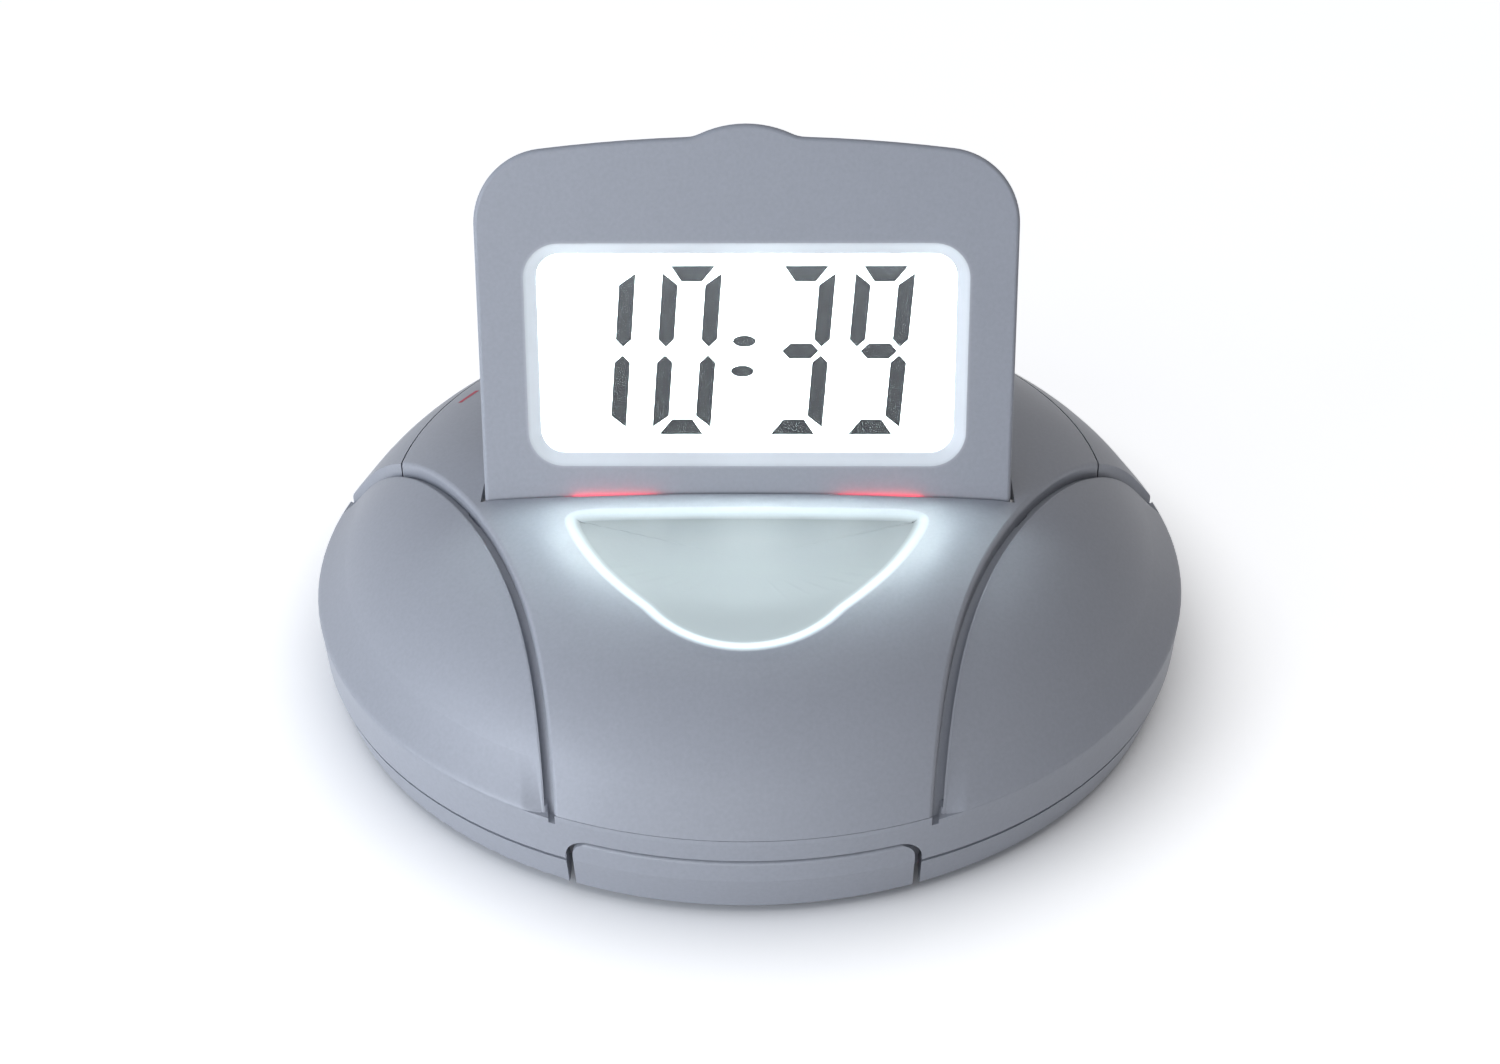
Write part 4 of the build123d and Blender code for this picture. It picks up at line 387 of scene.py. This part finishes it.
def inside_window(nodes, links):
    """One inside the window's rounded outline on the face of the display, and zero outside it."""
    place = nodes.new("ShaderNodeTexCoord").outputs["Object"]
    away = calc_vector(nodes, links, "SUBTRACT", place, FACE_ORIGIN + UP * (WINDOW_MIDDLE * MM))
    flat = nodes.new("ShaderNodeCombineXYZ")
    links.new(calc_vector(nodes, links, "DOT_PRODUCT", away, ACROSS), flat.inputs["X"])
    links.new(calc_vector(nodes, links, "DOT_PRODUCT", away, UP), flat.inputs["Y"])
    folded = calc_vector(nodes, links, "ABSOLUTE", flat.outputs["Vector"])
    straight = [(half - WINDOW_CORNER) * MM for half in WINDOW_HALF] + [0]
    over = calc_vector(nodes, links, "SUBTRACT", folded, straight)
    beyond = calc_vector(nodes, links, "MAXIMUM", over, (0, 0, 0))
    reach = calc_vector(nodes, links, "LENGTH", beyond)
    outer, inner = (WINDOW_CORNER + WINDOW_SOFT) * MM, (WINDOW_CORNER - WINDOW_SOFT) * MM
    return share_between(nodes, links, reach, outer, inner)


def bezel_with_painted_light():
    """Satin of the display's front, with a darker base and a painted glow on the bevel inside the window's
    outline, for the display's light.
    """
    made = satin("bezel_satin_painted_light", SILVER_COLOUR, SILVER_ROUGH)
    nodes, links = made.node_tree.nodes, made.node_tree.links
    shader = nodes["Principled BSDF"]
    # Painted light of the display on the bevel inside the window's outline
    lit = inside_window(nodes, links)
    recolour(nodes, links, shader, lit, BEVEL_BASE_UNDER_PAINTED_LIGHT)
    light_up(links, shader, ramp(nodes, links, lit, ((0.0, grey(0.0)), (1.0, BEVEL_PAINTED_LIGHT))))
    return made


SILVER = satin("silver_satin", SILVER_COLOUR, SILVER_ROUGH, metal=0.08)
BEZEL = bezel_with_painted_light()
SCOOP = scoop_with_painted_light()
RED_PRINT = satin("red_print", (0.55, 0.06, 0.10), rough=0.5, grain=900.0)
KEY_GREY = satin("key_satin", (0.30, 0.305, 0.34), rough=0.5)
BLACK = satin("black_moulding", (0.03, 0.03, 0.032), rough=0.5, relief=0.1)
RUBBER = satin("foot_rubber", (0.025, 0.025, 0.025), rough=0.75, grain=1400.0, relief=0.25)
BOARD = satin("board_mask", (0.02, 0.16, 0.06), rough=0.4, grain=500.0, spread=0.15)
JACKET = satin("cell_jacket", (0.06, 0.065, 0.08), rough=0.3, metal=0.4)
SLEEVE = satin("capacitor_sleeve", (0.05, 0.055, 0.09), rough=0.35)
MILKY = satin("milky_guide", (0.85, 0.86, 0.87), rough=0.4, spread=0.03)
STEEL = brushed("plated_steel", (0.60, 0.60, 0.61))
BRASS = brushed("turned_brass", (0.70, 0.52, 0.24), stretch=(20, 1, 1))
LIT_GLASS = glowing("lit_glass", (0.88, 1.0, 1.0), strength=11.0, edge=0.97)
WHITE_LAMP = glowing("white_lamp", (1.0, 0.98, 0.93), strength=2.0)
RED_LAMP = glowing("red_lamp", (1.0, 0.03, 0.06), strength=14.0, edge=0.8)
CLEAR = window_glass()
INK = segment_ink()

NODE_MATERIALS = {
    SILVER: ["bottom_cover", "upper_housing", "top_cover", "snooze_button", "battery_door", "display_back"],
    BEZEL: ["display_bezel"],
    KEY_GREY: ["alarm_button", "time_button", "minute_button", "hour_button", "mode_knob"],
    CLEAR: ["display_window"],
    LIT_GLASS: ["lcd_panel"],
    MILKY: ["backlight_diffuser"],
    WHITE_LAMP: ["backlight_leds"],
    RED_LAMP: ["alarm_light_bars", "alarm_leds"],
    RUBBER: ["rubber_feet", "zebra_strip"],
    BOARD: ["display_pcb", "snooze_pcb", "set_pcb", "main_pcb"],
    STEEL: ["display_screws", "hinge_pin_left", "hinge_pin_right", "set_pcb_screws", "mode_switch_screws",
            "motor_can", "motor_shaft", "motor_clamp", "motor_clamp_screws", "pcb_screws", "housing_screws",
            "crystal", "battery_spring_contacts", "battery_plate_contacts"],
    BRASS: ["eccentric_weight"],
    BLACK: ["snooze_switch_body", "set_switch_bodies", "mode_switch_body", "mode_switch_lever",
            "motor_end_cap", "clock_chip", "buzzer", "snooze_switch_plunger", "alarm_switch_plunger",
            "time_switch_plunger", "minute_switch_plunger", "hour_switch_plunger"],
    JACKET: ["battery_cells"],
    SLEEVE: ["capacitors"],
}
for finish, names in NODE_MATERIALS.items():
    for name in names:
        NODES[name].data.materials.clear()
        NODES[name].data.materials.append(finish)


# Piece helpers
def add_piece(name, mesh, finish):
    """Object in the scene from a finished mesh."""
    data = bpy.data.meshes.new(name)
    mesh.to_mesh(data)
    mesh.free()
    data.materials.append(finish)
    piece = bpy.data.objects.new(name, data)
    bpy.context.scene.collection.objects.link(piece)
    return piece


def join_rows(mesh, rows):
    """Faces between rows of vertices that follow each other."""
    for low, high in zip(rows, rows[1:]):
        for i in range(len(low) - 1):
            mesh.faces.new((low[i], low[i + 1], high[i + 1], high[i]))


# Pieces on the glass of the display
def on_glass(a, b, lift):
    """Point of the glass: a across and b up in millimetres, lift out of it in metres."""
    return FACE_ORIGIN + ACROSS * (a * MM) + UP * (b * MM) + OUT * (lift - GLASS_DEPTH)


def plate(name, outlines):
    """Thin plates of ink on the glass, one per outline, as one piece."""
    mesh = bmesh.new()
    for outline in outlines:
        low = [mesh.verts.new(on_glass(a, b, INK_LIFT)) for a, b in outline]
        high = [mesh.verts.new(on_glass(a, b, INK_LIFT + INK_THICKNESS)) for a, b in outline]
        mesh.faces.new(high)
        mesh.faces.new(low[::-1])
        join_rows(mesh, (low + low[:1], high + high[:1]))
    piece = add_piece(name, mesh, INK)
    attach(piece, "display")


def flip(points):
    """Outline turned upside down in its cell."""
    return [(x, DIGIT_HEIGHT - y) for x, y in points][::-1]


def mirror(points):
    """Outline mirrored left to right in its cell."""
    return [(DIGIT_WIDTH - x, y) for x, y in points][::-1]


def segment(letter):
    """Outline of one bar of a digit, in its upright cell."""
    w, h, t = DIGIT_WIDTH, DIGIT_HEIGHT, DIGIT_STROKE
    middle = h / 2
    top = [(BAR_OUTER, h), (w - BAR_OUTER, h), (w - BAR_INNER, h - t), (BAR_INNER, h - t)]
    right = [(w - t, h - BAR_INNER), (w, h - BAR_OUTER)]
    right += [(w, middle + TIP_SIDE), (w - t / 2, middle + TIP), (w - t, middle + TIP_SIDE)]
    left_tip, right_tip = MIDDLE_LEFT, w - MIDDLE_RIGHT
    bar = [(left_tip, middle), (left_tip + MIDDLE_POINT, middle + t / 2)]
    bar += [(right_tip - MIDDLE_POINT, middle + t / 2), (right_tip, middle)]
    bar += [(right_tip - MIDDLE_POINT, middle - t / 2), (left_tip + MIDDLE_POINT, middle - t / 2)]
    shapes = {"a": top, "b": right, "c": flip(right), "d": flip(top), "g": bar}
    shapes["e"] = mirror(shapes["c"])
    shapes["f"] = mirror(shapes["b"])
    return shapes[letter]


def slanted(left, points):
    """Outline of a bar in its slanted place on the glass."""
    return [(left + x + y * DIGIT_SLANT, DIGIT_FOOT + y) for x, y in points]


def colon_dot(a, b):
    """Ellipse between the hours and the minutes."""
    turns = [2 * pi * i / COLON_STEPS for i in range(COLON_STEPS)]
    return [(a + COLON_SIZE[0] / 2 * cos(t), b + COLON_SIZE[1] / 2 * sin(t)) for t in turns]


for index, (left, letters) in enumerate(DIGITS):
    plate("digit_%d" % (index + 1), [slanted(left, segment(letter)) for letter in letters])
plate("colon", [colon_dot(a, b) for a, b in COLON_PLACES])


# Pieces on the base
def index_mark():
    """Printed red bar that lies on the dome of the top cover."""
    start, end = [Vector((x, y, MARK_ABOVE)) * MM for x, y in MARK_ENDS]
    side = (start - end).normalized().cross(DOWN) * (MARK_WIDTH / 2 * MM)
    mesh = bmesh.new()
    rows = []
    for i in range(MARK_STEPS + 1):
        middle = start.lerp(end, i / MARK_STEPS)
        row = []
        for edge in (middle - side, middle + side):
            _, point, normal, _ = NODES["top_cover"].ray_cast(edge, DOWN)
            row.append(mesh.verts.new(point + normal * (SKIN * MM)))
        rows.append(row)
    join_rows(mesh, rows)
    piece = add_piece("index_mark", mesh, RED_PRINT)
    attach(piece, "base")


def dome(place):
    """Point of the outer dome above a place."""
    radius = hypot(place.x, place.y) / MM
    height = CROWN_TOP - CROWN_RADIUS + sqrt(CROWN_RADIUS**2 - radius**2)
    aside = radius - SHOULDER_PLACE[0]
    if aside > 0:
        height = min(height, SHOULDER_PLACE[1] + sqrt(SHOULDER_RADIUS**2 - aside**2))
    return Vector((place.x, place.y, height * MM))


def scoop_edge(middle, angle):
    """Place where the wall of the scoop stands, in one direction from its middle."""
    away = Vector((cos(angle), sin(angle), 0))

    def sunk(reach):
        """Whether the cover lies deep under the dome there."""
        place = dome(middle + away * reach)
        _, point, _, _ = NODES["top_cover"].ray_cast(place - DOWN * MM, DOWN)
        return place.z - point.z > SCOOP_SOUNDING * MM

    low = 0.0
    while sunk(low + MM):
        low += MM
    high = low + MM
    for halving in range(SCOOP_HALVINGS):
        half = (low + high) / 2
        if sunk(half):
            low = half
        else:
            high = half
    return middle + away * low


def scoop_face():
    """Face of the scoop: a bevel that runs down from its outline, and its floor."""
    middle = Vector((*SCOOP_MIDDLE, 0)) * MM
    edge = [scoop_edge(middle, 2 * pi * i / SCOOP_STEPS) for i in range(SCOOP_STEPS)]
    for smoothing in range(SCOOP_SMOOTHING):
        edge = [(edge[i - 1] + edge[i] * 2 + edge[(i + 1) % SCOOP_STEPS]) / 4 for i in range(SCOOP_STEPS)]
    rear, nose = max(place.y for place in edge), min(place.y for place in edge)
    mesh = bmesh.new()
    # Per vertex: the share of painted light, and the share of depth that takes the base over to the darker
    # scoop colour
    rim = mesh.verts.layers.float.new("rim")
    floor_share = mesh.verts.layers.float.new("floor_share")

    def add(place, depth, lit):
        """Vertex at a depth under the dome."""
        vert = mesh.verts.new(dome(place) + DOWN * ((depth - SKIN) * MM))
        vert[rim] = lit
        vert[floor_share] = depth / SCOOP_DEPTH
        return vert

    def painted_floor_light(place):
        """Share of painted light on the floor, from the display out to the nose."""
        return FLOOR_PAINTED_LIGHT * (rear - place.y) / (rear - nose)

    columns = []
    for i, place in enumerate(edge):
        along = (edge[(i + 1) % SCOOP_STEPS] - edge[i - 1]).normalized()
        inward = Vector((-along.y, along.x, 0))
        facing = max(0.0, -inward.y) ** SCOOP_REAR_POWER
        bevel = (SCOOP_BEVEL + (SCOOP_REAR_BEVEL - SCOOP_BEVEL) * facing) * MM
        column = [add(place - inward * (SCOOP_LAP * MM), 0.0, 0.0)]
        for k in range(SCOOP_BEVEL_RINGS + 1):
            share = k / SCOOP_BEVEL_RINGS
            there = place + inward * (share * bevel)
            # Painted light: strongest in the middle of the bevel, going over to the floor's painted light
            # at its foot
            lit = max(sin(pi * share) * (RIM_PAINTED_LIGHT + painted_floor_light(there)), share * painted_floor_light(there))
            column.append(add(there, SCOOP_DEPTH * (1 - cos(pi * share)) / 2, lit))
        start = place + inward * bevel
        for k in range(1, SCOOP_FLOOR_RINGS):
            there = start.lerp(middle, k / SCOOP_FLOOR_RINGS)
            column.append(add(there, SCOOP_DEPTH, painted_floor_light(there)))
        columns.append(column)
    # Round the scoop and back to the start, in the order in which the faces look up
    join_rows(mesh, columns[::-1] + columns[-1:])
    heart = add(middle, SCOOP_DEPTH, painted_floor_light(middle))
    for i, column in enumerate(columns):
        other = columns[(i + 1) % SCOOP_STEPS]
        mesh.faces.new((column[-1], other[-1], heart))
    piece = add_piece("scoop_face", mesh, SCOOP)
    piece.data.shade_smooth()
    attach(piece, "base")


def pad_edge(name, side):
    """Soft edge that leads from a side pad over to the rim, on the left (-1) or on the right (1)."""
    far = hypot(*PAD_ARC_PLACE)
    middle = atan2(PAD_ARC_PLACE[1], side * PAD_ARC_PLACE[0])

    def surface(angle, height):
        """Radius of the housing in one direction at a height."""
        away = Vector((cos(angle), sin(angle), 0))
        start = away * (PAD_EDGE_OUTSIDE * MM) - DOWN * (height * MM)
        _, point, _, _ = NODES["upper_housing"].ray_cast(start, -away)
        return hypot(point.x, point.y) / MM

    mesh = bmesh.new()
    rows = []
    for height, lift in PAD_EDGE_ROWS:
        widest = surface(middle, height) + lift
        reach = acos((widest**2 + far**2 - PAD_ARC_RADIUS**2) / (2 * widest * far))
        row = []
        for i in range(PAD_EDGE_STEPS + 1):
            share = 2 * i / PAD_EDGE_STEPS - 1
            angle = middle + reach * share
            taper = min(1.0, (1 - abs(share)) * reach * widest / PAD_EDGE_TAPER)
            radius = surface(angle, height) + lift * taper
            row.append(mesh.verts.new(Vector((radius * cos(angle), radius * sin(angle), height)) * MM))
        rows.append(row)
    join_rows(mesh, rows)
    piece = add_piece(name, mesh, SILVER)
    piece.data.shade_smooth()
    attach(piece, "base")


index_mark()
scoop_face()
pad_edge("pad_edge_left", -1)
pad_edge("pad_edge_right", 1)


# Floor, world, lamps and camera
def floor():
    """Pale floor that shows white to the camera, with its real shadow and a painted contact shadow."""
    bpy.ops.mesh.primitive_plane_add(size=FLOOR_SIZE, location=(0, 0, 0))
    made = bpy.context.object
    made.name = "floor"
    finish, nodes, links, shader = material("floor_white")
    grain = noise(nodes, links, scale=40.0)
    tone = drift(nodes, links, grain, grey(FLOOR_TONES[0]), grey(FLOOR_TONES[1]))
    links.new(tone, shader.inputs["Base Color"])
    shader.inputs["Roughness"].default_value = 0.9
    shader.inputs["Specular IOR Level"].default_value = 0.0
    # Painted contact shadow: ambient occlusion darkens the light that the floor gives off to the camera and
    # in reflections
    contact = nodes.new("ShaderNodeAmbientOcclusion")
    contact.inputs["Distance"].default_value = CONTACT_SHADOW
    shade = ramp(nodes, links, contact.outputs["AO"], CONTACT_STOPS)
    light_up(links, shader, shade, rays(nodes, links, "Is Camera Ray", "Is Glossy Ray"))
    made.data.materials.append(finish)


def world():
    """Soft surroundings, cool on the left and dim on the right, white where they are seen or mirrored."""
    made = bpy.data.worlds.new("studio")
    bpy.context.scene.world = made
    made.use_nodes = True
    nodes, links = made.node_tree.nodes, made.node_tree.links
    direction = nodes.new("ShaderNodeTexCoord").outputs["Generated"]
    along = calc_vector(nodes, links, "DOT_PRODUCT", direction, LIGHT_SIDE)
    around = ramp(nodes, links, share_between(nodes, links, along, -1.0, 1.0), WORLD_STOPS)
    blend = nodes.new("ShaderNodeMix")
    blend.data_type = "RGBA"
    blend.inputs["B"].default_value = (1, 1, 1, 1)
    links.new(around, blend.inputs["A"])
    seen = rays(nodes, links, "Is Camera Ray", "Is Glossy Ray", "Is Transmission Ray")
    links.new(seen, blend.inputs["Factor"])
    links.new(blend.outputs["Result"], nodes["Background"].inputs["Color"])


def lamp(name, place, size, power, colour):
    """Soft square lamp that faces the object."""
    data = bpy.data.lights.new(name, "AREA")
    data.shape = "SQUARE"
    data.size = size
    data.energy = power
    data.color = colour
    made = bpy.data.objects.new(name, data)
    made.location = place
    made.rotation_euler = (CAMERA_TARGET - Vector(place)).to_track_quat("-Z", "Y").to_euler()
    bpy.context.scene.collection.objects.link(made)


def camera():
    """Camera of the photograph."""
    data = bpy.data.cameras.new("camera")
    data.sensor_fit = "HORIZONTAL"
    data.sensor_width = SENSOR
    data.lens = FOCAL_PIXELS * SENSOR / FRAME_WIDTH
    data.shift_x = (FRAME_WIDTH / 2 - OPTICAL_CENTRE[0]) / FRAME_WIDTH
    data.shift_y = (OPTICAL_CENTRE[1] - FRAME_HEIGHT / 2) / FRAME_WIDTH
    data.clip_start = CAMERA_NEAR
    level = cos(CAMERA_ELEVATION)
    back = Vector((sin(CAMERA_YAW) * level, -cos(CAMERA_YAW) * level, sin(CAMERA_ELEVATION)))
    right = back.cross(DOWN).normalized()
    above = back.cross(right)
    turned = right * cos(CAMERA_ROLL) + above * sin(CAMERA_ROLL)
    tilted = above * cos(CAMERA_ROLL) - right * sin(CAMERA_ROLL)
    made = bpy.data.objects.new("camera", data)
    axes = Matrix((turned, tilted, back)).transposed().to_4x4()
    made.matrix_world = Matrix.Translation(CAMERA_TARGET + back * CAMERA_DISTANCE) @ axes
    bpy.context.scene.collection.objects.link(made)
    bpy.context.scene.camera = made


floor()
world()
for name, settings in LAMPS.items():
    lamp(name, **settings)
camera()
bpy.context.scene.view_settings.view_transform = "Standard"
